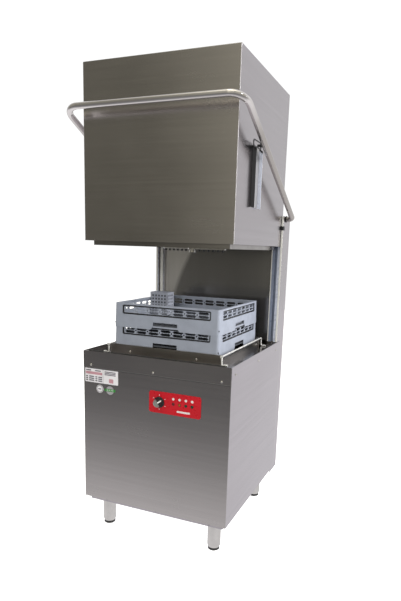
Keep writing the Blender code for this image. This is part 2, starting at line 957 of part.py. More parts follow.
def handle_tool(name, bottom, along):
    """A notch for the fingers in the lower edge of two opposite walls."""
    middle = (RACK_CENTRE_X, behind(CHAMBER_DEPTH))
    centre, across = middle[along], middle[1 - along]
    low, high = bottom - 0.01, bottom + 0.032
    outline = [(centre - 0.070, low), (centre + 0.070, low)]
    outline += [(centre + 0.057, high), (centre - 0.057, high)]
    shape = bmesh.new()
    for side in (-1, 1):
        ends = [across + side * (0.5 * RACK_SIDE + reach) for reach in (-0.010, 0.010)]
        if along == 0:
            loops = [[(a, end, b) for a, b in outline] for end in ends]
        else:
            loops = [[(end, a, b) for a, b in outline] for end in ends]
        bridge(shape, loops, closed=False)
    return finish_object(name, shape, None)


def floor_tool(name, z_low, z_high):
    """Square bars that open the rack's floor into a grid."""
    cells = 4
    field = RACK_SIDE - 0.060
    pitch = field / cells
    bar = 0.012
    shape = bmesh.new()
    for column in range(cells):
        for row in range(cells):
            x = RACK_CENTRE_X - 0.5 * field + column * pitch + 0.5 * bar
            y = behind(CHAMBER_DEPTH) - 0.5 * field + row * pitch + 0.5 * bar
            square = [(x, y), (x + pitch - bar, y)]
            square += [(x + pitch - bar, y + pitch - bar), (x, y + pitch - bar)]
            loops = [[(a, b, z) for a, b in square] for z in (z_low, z_high)]
            bridge(shape, loops, closed=False)
    return finish_object(name, shape, None)


def make_rack(name, bottom, looks):
    low = (RACK_CENTRE_X - 0.5 * RACK_SIDE, behind(CHAMBER_DEPTH - 0.5 * RACK_SIDE))
    high = (low[0] + RACK_SIDE, low[1] + RACK_SIDE)
    top = bottom + RACK_HEIGHT
    corner = 0.014
    rack = pan(
        name,
        low,
        high,
        [
            (0.0, bottom),
            (RACK_TAPER, top),
            (RACK_TAPER + RACK_WALL, top),
            (RACK_WALL + 0.001, bottom + RACK_FLOOR),
        ],
        looks["plastic"],
        radius=corner,
        segments=3,
        origin=((low[0] + high[0]) / 2, (low[1] + high[1]) / 2, bottom),
    )
    skirt = 0.0024
    hollow = rounded_rectangle(
        (low[0] + skirt, low[1] + skirt), (high[0] - skirt, high[1] - skirt), corner - skirt, 3
    )
    cut(
        rack,
        extrusion(
            f"{name}_underside", hollow, "Z", bottom - 0.01, bottom + RACK_UNDERSIDE, None
        ),
        window_tools(f"{name}_windows_x", bottom + 0.0585, bottom + 0.0985, 0),
        window_tools(f"{name}_windows_y", bottom + 0.0585, bottom + 0.0985, 1),
        handle_tool(f"{name}_notch_x", bottom, 0),
        handle_tool(f"{name}_notch_y", bottom, 1),
        floor_tool(f"{name}_floor", bottom + RACK_UNDERSIDE - 0.01, bottom + RACK_FLOOR + 0.01),
    )
    return rack


def make_basket(looks):
    low, high = BASKET_LOW, BASKET_HIGH
    wall = 0.002
    middle = ((low[0] + high[0]) / 2, (low[1] + high[1]) / 2, low[2])
    basket = pan(
        "cutlery_basket",
        low[:2],
        high[:2],
        [
            (0.003, low[2]),
            (0.001, high[2] - 0.006),
            (0.0, high[2] - 0.005),
            (0.0, high[2]),
            (0.001 + wall, high[2]),
            (0.003 + wall, low[2] + wall),
        ],
        looks["plastic"],
        radius=0.006,
        segments=1,
        origin=middle,
    )
    tools = []
    for along, size in ((0, high[0] - low[0]), (1, high[1] - low[1])):
        shape = bmesh.new()
        cells = 3
        pitch = (size - 0.012) / cells
        for column in range(cells):
            first = middle[along] - 0.5 * (size - 0.012) + column * pitch + 0.002
            for row in range(2):
                z = low[2] + 0.008 + row * 0.035
                square = [(first, z), (first + pitch - 0.004, z)]
                square += [(first + pitch - 0.004, z + 0.030), (first, z + 0.030)]
                if along == 0:
                    loops = [[(a, middle[1] + s, b) for a, b in square] for s in (-0.1, 0.1)]
                else:
                    loops = [[(middle[0] + s, a, b) for a, b in square] for s in (-0.1, 0.1)]
                bridge(shape, loops, closed=False)
        tools.append(finish_object(f"basket_cells_{along}", shape, None))
    return cut(basket, *tools)


# ---------------------------------------------------------------- hood


def make_hood_shell(looks):
    low = (-HOOD_HALF, behind(HOOD_FRONT))
    high = (HOOD_HALF, behind(HOOD_REAR))
    shell = pan(
        "hood_shell",
        low,
        high,
        [
            (0.0, HOOD_TOP),
            (0.0, HOOD_BOTTOM),
            (SHEET, HOOD_BOTTOM),
            (SHEET, HOOD_TOP - SHEET),
        ],
        looks["brushed"],
        origin=(0.0, 0.0, HOOD_BOTTOM),
    )
    rear_opening = block(
        "rear_opening",
        (-HOOD_HALF + SHEET, behind(HOOD_REAR - 0.01), HOOD_BOTTOM - 0.01),
        (HOOD_HALF - SHEET, behind(HOOD_REAR + 0.01), HOOD_TOP - SHEET),
        None,
    )
    return cut(shell, rear_opening)


def make_hood_rear_wall(looks):
    half = HOOD_HALF - SHEET - GAP
    slot = 0.055
    slot_top = 1.835
    low, high = HOOD_BOTTOM + 0.0005, HOOD_TOP - SHEET - GAP
    outline = [
        (slot, low),
        (half, low),
        (half, high),
        (-half, high),
        (-half, low),
        (-slot, low),
        (-slot, slot_top),
        (slot, slot_top),
    ]
    rear = behind(HOOD_REAR - 0.0005)
    return extrusion(
        "hood_rear_wall",
        outline,
        "Y",
        rear - SHEET,
        rear,
        looks["satin"],
        (0.0, 0.0, HOOD_BOTTOM),
    )


def three_sided(half, front, rear, wall_x, wall_y):
    """Plan of a frame with a front and two sides, open at the back."""
    return [
        (-half, rear),
        (-half, front),
        (half, front),
        (half, rear),
        (half - wall_x, rear),
        (half - wall_x, front + wall_y),
        (-half + wall_x, front + wall_y),
        (-half + wall_x, rear),
    ]


def make_hood_skirt(looks):
    rear = behind(HOOD_REAR - 0.010)
    wall = three_sided(SKIRT_HALF, behind(SKIRT_FRONT), rear, SHEET, SHEET)
    skirt = extrusion(
        "hood_skirt", wall, "Z", SKIRT_BOTTOM, SKIRT_TOP, looks["inner"], (0, 0, HOOD_BOTTOM)
    )
    half = HOOD_HALF - SHEET - GAP
    front = HOOD_FRONT + SHEET + GAP
    width_x = half - SKIRT_HALF + 0.5 * SHEET
    width_y = SKIRT_FRONT - front + 0.5 * SHEET
    ledge = three_sided(half, behind(front), rear, width_x, width_y)
    level = HOOD_BOTTOM + 0.0015
    return weld_on(skirt, extrusion("skirt_ledge", ledge, "Z", level, level + SHEET, None))


def roller_point(side, x):
    """Where the arm carries its roller with the hood up, at a distance x from the middle."""
    back, rise = PIVOT_DEPTH - HANDLE_FRONT, HANDLE_FRONT_Z - PIVOT_Z
    share = ROLLER_REACH / math.hypot(back, rise)
    return (side * x, behind(PIVOT_DEPTH - back * share), PIVOT_Z + rise * share)


def make_hood_brackets(looks):
    base = HOOD_HALF + GAP
    face = 0.3505
    low, high = 1.435, 1.668
    for side_name, side in SIDES:
        _, y, z = roller_point(side, face)
        front, rear = behind(0.150), behind(0.185)
        plate = 0.002
        plan = mirrored(
            side,
            [
                (base, front),
                (face, front),
                (face, front + plate),
                (base + plate, front + plate),
                (base + plate, rear - plate),
                (face, rear - plate),
                (face, rear),
                (base, rear),
            ],
        )
        bracket = extrusion(
            f"hood_bracket_{side_name}",
            plan,
            "Z",
            low,
            high,
            looks["satin"],
            (side * base, y, z),
        )
        head = [
            (behind(0.112), z - 0.014),
            (behind(0.140), z - 0.040),
            (behind(0.190), z - 0.040),
            (behind(0.212), z - 0.014),
            (behind(0.212), z + 0.014),
            (behind(0.112), z + 0.014),
        ]
        ends = sorted((side * (face - 0.003), side * face))
        track = rounded_rectangle(
            (behind(0.124), z - 0.0092), (behind(0.202), z + 0.0092), 0.009, 3
        )
        cutter_ends = sorted((side * (base + plate), side * (face + 0.01)))
        weld_on(bracket, extrusion(f"bracket_head_{side_name}", head, "X", *ends, None))
        cut(bracket, extrusion(f"bracket_track_{side_name}", track, "X", *cutter_ends, None))


def make_carriages(looks):
    middle = 0.5 * (RAIL_INNER + RAIL_OUTER)
    stem_front = behind(HOOD_REAR - 0.0005 + GAP)
    head_front, head_rear = behind(0.6756), behind(0.6915)
    for side_name, side in SIDES:
        outline = mirrored(
            side,
            [
                (middle - 0.005, stem_front),
                (middle + 0.005, stem_front),
                (middle + 0.005, head_front),
                (middle + 0.017, head_front),
                (middle + 0.017, head_rear),
                (middle - 0.017, head_rear),
                (middle - 0.017, head_front),
                (middle - 0.005, head_front),
            ],
        )
        extrusion(
            f"hood_carriage_{side_name}",
            outline,
            "Z",
            HOOD_BOTTOM + 0.010,
            HOOD_BOTTOM + 0.100,
            looks["black"],
            (side * middle, stem_front, HOOD_BOTTOM + 0.010),
        )


# ---------------------------------------------------------------- handle and counterbalance


def make_handle(looks):
    end = 0.3445
    pivot_y, front_y = behind(PIVOT_DEPTH), behind(HANDLE_FRONT)
    corners = [
        (-end, pivot_y, PIVOT_Z),
        (-HANDLE_HALF, pivot_y, PIVOT_Z),
        (-HANDLE_HALF, front_y, HANDLE_FRONT_Z),
        (HANDLE_HALF, front_y, HANDLE_FRONT_Z),
        (HANDLE_HALF, pivot_y, PIVOT_Z),
        (end, pivot_y, PIVOT_Z),
    ]
    elbow, corner = 0.020, 0.062
    tight = bent_path(corners[:3], elbow, 3)
    wide = bent_path(corners[1:5], corner, 5)
    other = bent_path(corners[3:], elbow, 3)
    path = tight[:-1] + wide[1:-1] + other[1:]
    origin = (0.0, pivot_y, PIVOT_Z)
    return bent_tube(
        "handle_bar", path, HANDLE_TUBE, HANDLE_BORE, looks["polished"], 12, origin
    )


def lever_outline():
    """The counterbalance lever's side view: a strip from the shaft to the spring's pin."""
    start = Vector((behind(PIVOT_DEPTH), PIVOT_Z))
    along = Vector((math.cos(LEVER_ANGLE), math.sin(LEVER_ANGLE)))
    across = Vector((-along.y, along.x)) * 0.006
    end = start + along * (LEVER_REACH + 0.006)
    corners = (start - across, end - across, end + across, start + across)
    return [tuple(corner) for corner in corners]


def make_cross_shaft(looks):
    end = 0.3435
    origin = (0.0, behind(PIVOT_DEPTH), PIVOT_Z)
    shaft = rod(
        "cross_shaft", "X", origin[1:], 0.008, -end, end, looks["satin"], 16, origin
    )
    levers = []
    for side_name, side in SIDES:
        ends = sorted((side * (SPRING_X - 0.004), side * (SPRING_X + 0.004)))
        levers.append(
            extrusion(f"lever_{side_name}", lever_outline(), "X", *ends, None)
        )
    return weld_on(shaft, *levers)


def make_rollers(looks):
    rollers = []
    for side_name, side in SIDES:
        start = roller_point(side, HANDLE_HALF - HANDLE_TUBE - GAP)
        profile = [
            (0.0085, 0.0),
            (0.0085, -side * 0.004),
            (ROLLER_RADIUS, -side * 0.0042),
            (ROLLER_RADIUS, -side * 0.0160),
        ]
        rollers.append(
            turned(f"lift_roller_{side_name}", profile, start, looks["black"], 16, "X")
        )
    return rollers


def make_bushes(looks):
    """Flanged bearings for the cross shaft in the column's cheeks."""
    for side_name, side in SIDES:
        outer = side * (COLUMN_HALF + GAP)
        centre = (outer, behind(PIVOT_DEPTH), PIVOT_Z)
        profile = [
            (0.0084, side * 0.0030),
            (0.0155, side * 0.0030),
            (0.0155, 0.0),
            (0.0104, 0.0),
            (0.0104, -side * 0.0080),
            (0.0084, -side * 0.0080),
        ]
        turned(
            f"shaft_bush_{side_name}", profile, centre, looks["black"], 16, "X", ring=True
        )


def make_springs(looks):
    """Tension coils between the levers and the foot of the column."""
    turns, steps = 7, 8
    bottom, top = 1.060, 1.355
    y = behind(PIVOT_DEPTH) + LEVER_REACH * math.cos(LEVER_ANGLE)
    for side_name, side in SIDES:
        path = []
        for k in range(turns * steps + 1):
            angle = 2 * math.pi * k / steps
            z = bottom + (top - bottom) * k / (turns * steps)
            x = side * SPRING_X + 0.014 * math.cos(angle)
            path.append(Vector((x, y + 0.014 * math.sin(angle), z)))
        origin = (side * SPRING_X, y, bottom)
        bent_tube(f"spring_{side_name}", path, 0.0020, 0.0, looks["spring"], 4, origin)


# ---------------------------------------------------------------- assembly


def clear_scene():
    for obj in list(bpy.data.objects):
        bpy.data.objects.remove(obj, do_unlink=True)


def make_fixed_parts(looks):
    make_base_frame(looks)
    make_front_panel(looks)
    make_top_fascia(looks)
    make_side_panels(looks)
    make_column(looks)
    make_back_panel(looks)
    make_rails(looks)
    make_wash_tank(looks)
    make_strainer(looks)
    make_rack_support(looks)
    make_rack_guides(looks)
    make_tank_heater(looks)
    make_lower_manifold(looks)
    make_upper_manifold(looks)
    make_pump(looks)
    make_wash_riser(looks)
    make_boiler(looks)
    make_electrical_box(looks)
    make_bushes(looks)
    make_springs(looks)


def make_moving_parts(looks):
    face = make_control_panel(looks)
    make_knob(looks, face)
    make_arms(looks)
    make_feet(looks)
    make_overflow_pipe(looks)

    lower = make_rack("rack_lower", RACK_BOTTOM, looks)
    upper = make_rack("rack_upper", RACK_BOTTOM + RACK_PITCH, looks)
    attach(upper, lower)
    attach(make_basket(looks), upper)

    hood = pivot("hood_travel", (0.0, 0.0, HOOD_BOTTOM))
    make_hood_brackets(looks)
    make_carriages(looks)
    for piece in (
        make_hood_shell(looks),
        make_hood_rear_wall(looks),
        make_hood_skirt(looks),
        *[bpy.data.objects[f"hood_bracket_{side_name}"] for side_name, _ in SIDES],
        *[bpy.data.objects[f"hood_carriage_{side_name}"] for side_name, _ in SIDES],
    ):
        attach(piece, hood)

    handle = pivot("handle_axis", (0.0, behind(PIVOT_DEPTH), PIVOT_Z))
    for piece in (make_handle(looks), make_cross_shaft(looks), *make_rollers(looks)):
        attach(piece, handle)


def main():
    clear_scene()
    looks = make_materials()
    make_fixed_parts(looks)
    make_moving_parts(looks)
    bpy.context.view_layer.update()


main()
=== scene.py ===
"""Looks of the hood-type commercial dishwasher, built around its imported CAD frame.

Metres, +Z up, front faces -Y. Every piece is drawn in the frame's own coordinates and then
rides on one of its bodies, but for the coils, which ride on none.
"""

import math

import bmesh
import bpy
from mathutils import Matrix, Vector
from mathutils.geometry import tessellate_polygon


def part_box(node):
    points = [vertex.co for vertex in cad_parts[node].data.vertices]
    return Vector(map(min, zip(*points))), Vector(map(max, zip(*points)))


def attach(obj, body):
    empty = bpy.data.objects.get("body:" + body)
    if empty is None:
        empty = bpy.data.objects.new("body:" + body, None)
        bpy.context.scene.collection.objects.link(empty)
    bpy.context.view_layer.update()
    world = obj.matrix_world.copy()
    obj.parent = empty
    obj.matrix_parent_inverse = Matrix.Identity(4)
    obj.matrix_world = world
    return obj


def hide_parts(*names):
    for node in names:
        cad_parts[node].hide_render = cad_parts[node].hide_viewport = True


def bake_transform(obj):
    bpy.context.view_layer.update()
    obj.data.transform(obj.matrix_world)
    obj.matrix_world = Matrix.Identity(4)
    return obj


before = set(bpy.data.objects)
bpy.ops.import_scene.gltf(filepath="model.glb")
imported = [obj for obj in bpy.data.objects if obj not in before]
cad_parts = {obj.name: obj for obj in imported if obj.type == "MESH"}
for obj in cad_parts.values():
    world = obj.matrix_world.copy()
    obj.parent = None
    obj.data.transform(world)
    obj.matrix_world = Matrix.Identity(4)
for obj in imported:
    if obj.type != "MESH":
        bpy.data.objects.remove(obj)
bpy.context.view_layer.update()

SHEET = 0.0015  # folded steel sheet
SKIN = 0.0002  # a print or label stands this far off its surface
SIDES = (("left", -1), ("right", 1))

HOOD_LOW, HOOD_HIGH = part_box("hood_shell")
PANEL_LOW, PANEL_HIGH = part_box("front_panel")
FASCIA_LOW, FASCIA_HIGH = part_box("top_fascia")
COLUMN_LOW, COLUMN_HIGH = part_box("column_shell")
SIDE_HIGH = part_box("side_panel_right")[1]
FRONT_Y = PANEL_LOW.y

# ---------------- node materials

BRUSH_DEPTH = 0.0000002
SHEET_DEPTH = 0.000001
POLISH_DEPTH = 0.00001
MOULD_DEPTH = 0.00008
SCRATCHES = (500.0, 500.0, 120.0)
WIPES = (45.0, 45.0, 12.0)


def node(tree, kind, values=None, **settings):
    """Add a shader node; a value that is a socket is linked, and any other is set."""
    made = tree.nodes.new(kind)
    for key, value in settings.items():
        setattr(made, key, value)
    for key, value in (values or {}).items():
        if isinstance(value, bpy.types.NodeSocket):
            tree.links.new(value, made.inputs[key])
        else:
            made.inputs[key].default_value = value
    return made


def noise(tree, stretch, detail=2.0):
    """Noise in object space; stretch is its frequency per metre, one number or one an axis."""
    place = node(tree, "ShaderNodeTexCoord").outputs["Object"]
    scale = (stretch,) * 3 if isinstance(stretch, float) else stretch
    mapping = node(tree, "ShaderNodeMapping", {"Vector": place, "Scale": scale})
    values = {"Vector": mapping.outputs[0], "Scale": 1.0, "Detail": detail}
    return node(tree, "ShaderNodeTexNoise", values).outputs[0]


def parts_of(tree, space="Object"):
    """The X, Y and Z of a place on the piece or, in Generated space, of a ray's heading."""
    place = node(tree, "ShaderNodeTexCoord").outputs[space]
    return node(tree, "ShaderNodeSeparateXYZ", {0: place}).outputs


def remap(tree, value, low, high, start=0.3, end=0.7):
    """Carry a value from the span start..end to the span low..high."""
    spans = {"Value": value, "From Min": start, "From Max": end, "To Min": low, "To Max": high}
    return node(tree, "ShaderNodeMapRange", spans).outputs[0]


def arithmetic(tree, operation, first, second):
    return node(tree, "ShaderNodeMath", {0: first, 1: second}, operation=operation).outputs[0]


def dimmed(tree, colour, level):
    """A colour, which is a socket or a triple, times a level."""
    values = {0: colour, "Scale": level}
    return node(tree, "ShaderNodeVectorMath", values, operation="SCALE").outputs[0]


def blend_colour(tree, factor, first, second):
    """Mix two RGB triples by a factor socket."""
    values = {0: factor, 6: (*first, 1.0), 7: (*second, 1.0)}
    return node(tree, "ShaderNodeMix", values, data_type="RGBA").outputs[2]


def seen_or_reflected(tree, seen, reflected):
    """One shader for what the camera sees and another for every other ray."""
    rays = node(tree, "ShaderNodeLightPath").outputs["Is Camera Ray"]
    values = {0: rays, 1: reflected.outputs[0], 2: seen.outputs[0]}
    return node(tree, "ShaderNodeMixShader", values).outputs[0]


def scaled(colour, factor):
    return tuple(min(1.0, channel * factor) for channel in colour)


def along(grain, slow, fast):
    """Noise frequencies for a grain that runs along one axis."""
    return tuple(slow if axis == grain else fast for axis in "XYZ")


def speckled(stretch, detail=2.0):
    """A node function: plain noise, for relief."""
    return lambda tree: noise(tree, stretch, detail)


def drifting(stretch, detail, level, spread):
    """A node function: a level that drifts to either side."""
    return lambda tree: remap(tree, noise(tree, stretch, detail), level - spread, level + spread)


def two_tone(stretch, detail, colour, darker, lighter):
    """A node function: a colour that drifts between a darker and a lighter tone of itself."""

    def colour_of(tree):
        patch = remap(tree, noise(tree, stretch, detail), 0.0, 1.0)
        return blend_colour(tree, patch, scaled(colour, darker), scaled(colour, lighter))

    return colour_of


def surface(name, colour_of, roughness_of, height_of, bump, metallic=0.0, **extra):
    """A Principled material whose colour, roughness and bump height come from node functions."""
    made = bpy.data.materials.new(name)
    made.use_nodes = True
    tree = made.node_tree
    shader = tree.nodes["Principled BSDF"]
    shader.inputs["Metallic"].default_value = metallic
    tree.links.new(colour_of(tree), shader.inputs["Base Color"])
    tree.links.new(roughness_of(tree), shader.inputs["Roughness"])
    relief = node(tree, "ShaderNodeBump", {"Height": height_of(tree), "Distance": bump})
    tree.links.new(relief.outputs[0], shader.inputs["Normal"])
    for key, value in extra.items():
        shader.inputs[key.replace("_", " ")].default_value = value
    return made


def brushed(name, colour, rough, grain, streak=0.035, smudge=0.03):
    """Brushed sheet: fine scratches, faint rolling streaks and broad handling smudges."""

    def colour_of(tree):
        rolled = remap(tree, noise(tree, along(grain, 0.8, 60.0), 3.0), 0.0, 0.8)
        hair = remap(tree, noise(tree, along(grain, 3.0, 150.0)), 0.0, 0.2)
        depth = arithmetic(tree, "ADD", rolled, hair)
        return blend_colour(tree, depth, scaled(colour, 1 - streak), scaled(colour, 1 + streak))

    def roughness_of(tree):
        broad = remap(tree, noise(tree, 4.0, 4.0), rough - smudge, rough + smudge)
        hair = remap(tree, noise(tree, along(grain, 6.0, 160.0)), -0.015, 0.015)
        return arithmetic(tree, "ADD", broad, hair)

    relief = speckled(along(grain, 3.0, 180.0), 1.0)
    return surface(name, colour_of, roughness_of, relief, BRUSH_DEPTH, metallic=1.0)


def polished(name, colour, rough):
    """Drawn and polished steel: even, with wipe marks and a few faint scratches."""
    colour_of = two_tone(30.0, 4.0, colour, 0.94, 1.05)
    roughness_of = drifting(WIPES, 5.0, rough, 0.04)
    return surface(name, colour_of, roughness_of, speckled(SCRATCHES), POLISH_DEPTH, metallic=1.0)


def shade_graded_tube(name, near, far, rough):
    """Polished tube with painted light: its front bar is painted bright and its arms painted darker
    towards the column.
    """

    def colour_of(tree):
        # painted light and shade: the near colour at the front bar, the far colour towards the column
        back = remap(tree, parts_of(tree)["Y"], 0.0, 1.0, -0.41, -0.22)
        wipe = remap(tree, noise(tree, 30.0, 4.0), 0.0, 0.06)
        return blend_colour(tree, arithmetic(tree, "ADD", back, wipe), near, far)

    roughness_of = drifting(WIPES, 5.0, rough, 0.02)
    return surface(name, colour_of, roughness_of, speckled(SCRATCHES), POLISH_DEPTH, metallic=0.92)


def moulded(name, colour, rough, mottle=0.10, grain=900.0, bump=MOULD_DEPTH, metallic=0.0, **extra):
    """Moulded plastic, paint or rubber: a fine sparked texture under a soft mottle."""
    colour_of = two_tone(22.0, 5.0, colour, 1 - mottle, 1 + mottle)
    roughness_of = drifting(60.0, 3.0, rough, 0.06)
    return surface(name, colour_of, roughness_of, speckled(grain), bump, metallic, **extra)


def occlusion_shaded(name, colour, rough):
    """Rack plastic with painted shade: an ambient occlusion node darkens its colour where it is shut
    in.
    """
    tone = two_tone(22.0, 5.0, colour, 0.93, 1.07)

    def colour_of(tree):
        # painted shade: the colour drops towards a tenth where ambient occlusion finds other surfaces
        # within 0.14 m
        near = node(tree, "ShaderNodeAmbientOcclusion", {"Distance": 0.14}).outputs["AO"]
        return dimmed(tree, tone(tree), remap(tree, near, 0.10, 1.0, 0.10, 0.62))

    return surface(name, colour_of, drifting(60.0, 3.0, rough, 0.06), speckled(900.0), MOULD_DEPTH)


def lit_left_sheet(name, colour, rough):
    """The chamber's back sheet: upright grain, with painted light over its left part that ends at a
    bowed edge and dims towards the right.
    """

    def colour_of(tree):
        place = parts_of(tree)
        # painted light: full level left of a bowed edge, about a third beyond it, and dimmer again
        # towards the right
        rise = arithmetic(tree, "SUBTRACT", place["Z"], 0.80)
        bow = arithmetic(tree, "MULTIPLY", arithmetic(tree, "MULTIPLY", rise, rise), 0.62)
        across = arithmetic(tree, "SUBTRACT", place["X"], bow)
        edge = remap(tree, across, 1.0, 0.36, -0.300, -0.270)
        fade = remap(tree, place["X"], 1.0, 0.62, -0.20, 0.10)
        rolled = remap(tree, noise(tree, (60.0, 60.0, 0.8), 3.0), 0.96, 1.04)
        level = arithmetic(tree, "MULTIPLY", arithmetic(tree, "MULTIPLY", edge, fade), rolled)
        return dimmed(tree, colour, level)

    roughness_of = drifting((6.0, 6.0, 2.0), 4.0, rough, 0.05)
    relief = speckled((180.0, 180.0, 3.0), 1.0)
    return surface(name, colour_of, roughness_of, relief, SHEET_DEPTH, metallic=0.80)


def make_looks():
    """Every look that the pieces wear, by name."""
    warm = (0.560, 0.530, 0.520)
    lilac = (0.560, 0.527, 0.553)
    made = {}

    def add(kind, name, *values, **settings):
        made[name] = kind(name, *values, **settings)

    add(brushed, "brushed_steel", warm, 0.24, "X")
    add(brushed, "plate_steel", warm, 0.30, "X")
    add(brushed, "inner_steel", scaled(warm, 0.72), 0.20, "X", streak=0.12, smudge=0.08)
    add(brushed, "satin_steel", scaled(lilac, 0.93), 0.22, "Y")
    add(brushed, "upright_steel", lilac, 0.26, "Z")
    add(lit_left_sheet, "chamber_steel", (0.80, 0.775, 0.765), 0.20)
    add(polished, "polished_steel", (0.66, 0.64, 0.62), 0.13)
    add(polished, "spring_steel", (0.30, 0.30, 0.31), 0.32)
    add(polished, "screw_steel", (0.78, 0.76, 0.74), 0.20)
    add(shade_graded_tube, "tube_steel", (0.90, 0.86, 0.85), (0.48, 0.45, 0.425), 0.12)
    # near-white, mostly diffuse steel: painted sheen, for the rack rods, their clips and the hood's
    # carriages
    add(moulded, "bright_steel", (0.86, 0.85, 0.83), 0.30, mottle=0.04, metallic=0.35)
    # lighter, partly diffuse steel for the hood's front bends: painted highlight
    add(moulded, "fold_edge", (0.56, 0.54, 0.56), 0.30, mottle=0.04, metallic=0.3)
    add(moulded, "flange_shade", (0.05, 0.05, 0.054), 0.34, mottle=0.06, metallic=0.2)
    add(moulded, "channel_web", (0.30, 0.296, 0.304), 0.34, mottle=0.06, metallic=0.3)
    # blue-white and mostly diffuse: painted reflection of pale surroundings, on the rails and the
    # channels' rear flanges
    add(moulded, "rail_aluminium", (0.70, 0.735, 0.84), 0.30, mottle=0.04, metallic=0.15)
    add(moulded, "rail_shade", (0.24, 0.275, 0.365), 0.32, mottle=0.05, metallic=0.15)
    # pale cream for lit edges: painted highlight on rail lips and edges and on the column returns
    add(moulded, "cream_edge", (0.72, 0.705, 0.66), 0.35, mottle=0.05)
    add(occlusion_shaded, "rack_plastic", (0.335, 0.362, 0.430), 0.42)
    # a darker copy of the rack plastic: painted shade for the racks' floors and the covered rack's
    # inner walls
    add(occlusion_shaded, "rack_dark", (0.070, 0.075, 0.088), 0.50)
    add(moulded, "basket_plastic", (0.40, 0.42, 0.49), 0.42, bump=0.0001)
    add(moulded, "black_plastic", (0.018, 0.018, 0.020), 0.42, mottle=0.3)
    add(moulded, "rubber", (0.03, 0.03, 0.03), 0.62, mottle=0.25, grain=500.0)
    add(moulded, "motor_grey", (0.15, 0.16, 0.17), 0.50, mottle=0.15, grain=350.0)
    add(moulded, "box_grey", (0.42, 0.43, 0.43), 0.50, mottle=0.06, grain=600.0)
    add(moulded, "red_panel", (0.56, 0.012, 0.022), 0.30, mottle=0.06, grain=1400.0)
    add(moulded, "red_lens", (0.14, 0.003, 0.006), 0.14, grain=200.0, Coat_Weight=0.6)
    add(moulded, "amber_lens", (0.33, 0.10, 0.004), 0.14, grain=200.0, Coat_Weight=0.6)
    add(moulded, "green_lens", (0.003, 0.04, 0.014), 0.14, grain=200.0, Coat_Weight=0.6)
    add(moulded, "white_print", (0.76, 0.70, 0.69), 0.40, mottle=0.05)
    add(moulded, "pointer_white", (0.90, 0.89, 0.87), 0.35, mottle=0.03)
    add(moulded, "knob_grey", (0.42, 0.43, 0.40), 0.28, mottle=0.12, metallic=0.6)
    add(moulded, "label_stock", (0.86, 0.84, 0.87), 0.38, mottle=0.05, grain=2200.0)
    add(moulded, "label_silver", (0.52, 0.50, 0.53), 0.30, mottle=0.08, metallic=0.4)
    add(moulded, "label_ink", (0.12, 0.11, 0.14), 0.45, mottle=0.25)
    add(moulded, "label_pink", (0.56, 0.30, 0.34), 0.45, mottle=0.12)
    add(moulded, "label_green", (0.03, 0.23, 0.035), 0.45, mottle=0.2)
    return made


LOOKS = make_looks()

# ---------------- mesh tools

TURN_TO_AXIS = {
    "X": Matrix(((0, 0, 1), (1, 0, 0), (0, 1, 0))),
    "Y": Matrix(((1, 0, 0), (0, 0, 1), (0, 1, 0))),
    "Z": Matrix.Identity(3),
}


def finish(name, shape, look, body, slot=None, replaces=(), crease=35.0, bevel=0.0, shell=0.0):
    """Turn a bmesh drawn in frame coordinates into a piece that rides on a body."""
    bmesh.ops.recalc_face_normals(shape, faces=shape.faces)
    mesh = bpy.data.meshes.new(name)
    shape.to_mesh(mesh)
    shape.free()
    mesh.shade_smooth()
    mesh.set_sharp_from_angle(angle=math.radians(crease))
    mesh.materials.append(LOOKS[look])
    made = bpy.data.objects.new(name, mesh)
    bpy.context.scene.collection.objects.link(made)
    if shell:
        wall = made.modifiers.new("sheet", "SOLIDIFY")
        wall.thickness = shell
        wall.offset = -1.0
        wall.use_even_offset = True
    if bevel:
        edge = made.modifiers.new("soft_edges", "BEVEL")
        edge.width = bevel
        edge.segments = 2
        edge.limit_method = "ANGLE"
        edge.angle_limit = math.radians(40)
        edge.harden_normals = True
    flat = made.modifiers.new("even_faces", "WEIGHTED_NORMAL")
    flat.keep_sharp = True
    flat.weight = 100
    if body:
        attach(made, body)
    if replaces:
        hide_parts(*replaces)
    return made


def middle(low, high):
    """The point halfway between two corners."""
    return 0.5 * (Vector(low) + Vector(high))


def bridge(shape, loops, closed=False):
    """Skin a run of equal point loops; cap both ends, or join the last loop to the first."""
    rings = [[shape.verts.new(point) for point in loop] for loop in loops]
    pairs = list(zip(rings, rings[1:]))
    if closed:
        pairs.append((rings[-1], rings[0]))
    else:
        shape.faces.new(rings[0])
        shape.faces.new(rings[-1])
    for low, high in pairs:
        for here in range(len(low)):
            after = (here + 1) % len(low)
            shape.faces.new((low[here], low[after], high[after], high[here]))


def circle(centre, radius, sides):
    step = 2 * math.pi / sides
    return [
        (centre[0] + radius * math.cos(k * step), centre[1] + radius * math.sin(k * step))
        for k in range(sides)
    ]


def arc(centre, radius, first, last, steps):
    """Points of a circular arc in a profile, from one angle to another in degrees."""
    angles = [math.radians(first + (last - first) * k / steps) for k in range(steps + 1)]
    return [(centre[0] + radius * math.cos(a), centre[1] + radius * math.sin(a)) for a in angles]


def rectangle(low, high):
    return [(low[0], low[1]), (high[0], low[1]), (high[0], high[1]), (low[0], high[1])]


def rounded(low, high, radius, segments=5):
    """Corner-rounded outline between two (u, v) corners."""
    inner_low = (low[0] + radius, low[1] + radius)
    inner_high = (high[0] - radius, high[1] - radius)
    points = []
    for quarter, centre in enumerate(rectangle(inner_low, inner_high)):
        first = 180 + 90 * quarter
        points += arc(centre, radius, first, first + 90, segments)
    return points


def extrude(shape, outline, axis, start, end):
    """Push an outline along an axis; its numbers are the other two axes, in turn."""
    turn = TURN_TO_AXIS[axis]
    bridge(shape, [[turn @ Vector((a, b, level)) for a, b in outline] for level in (start, end)])


def box(shape, low, high):
    extrude(shape, rectangle(low, high), "Z", low[2], high[2])


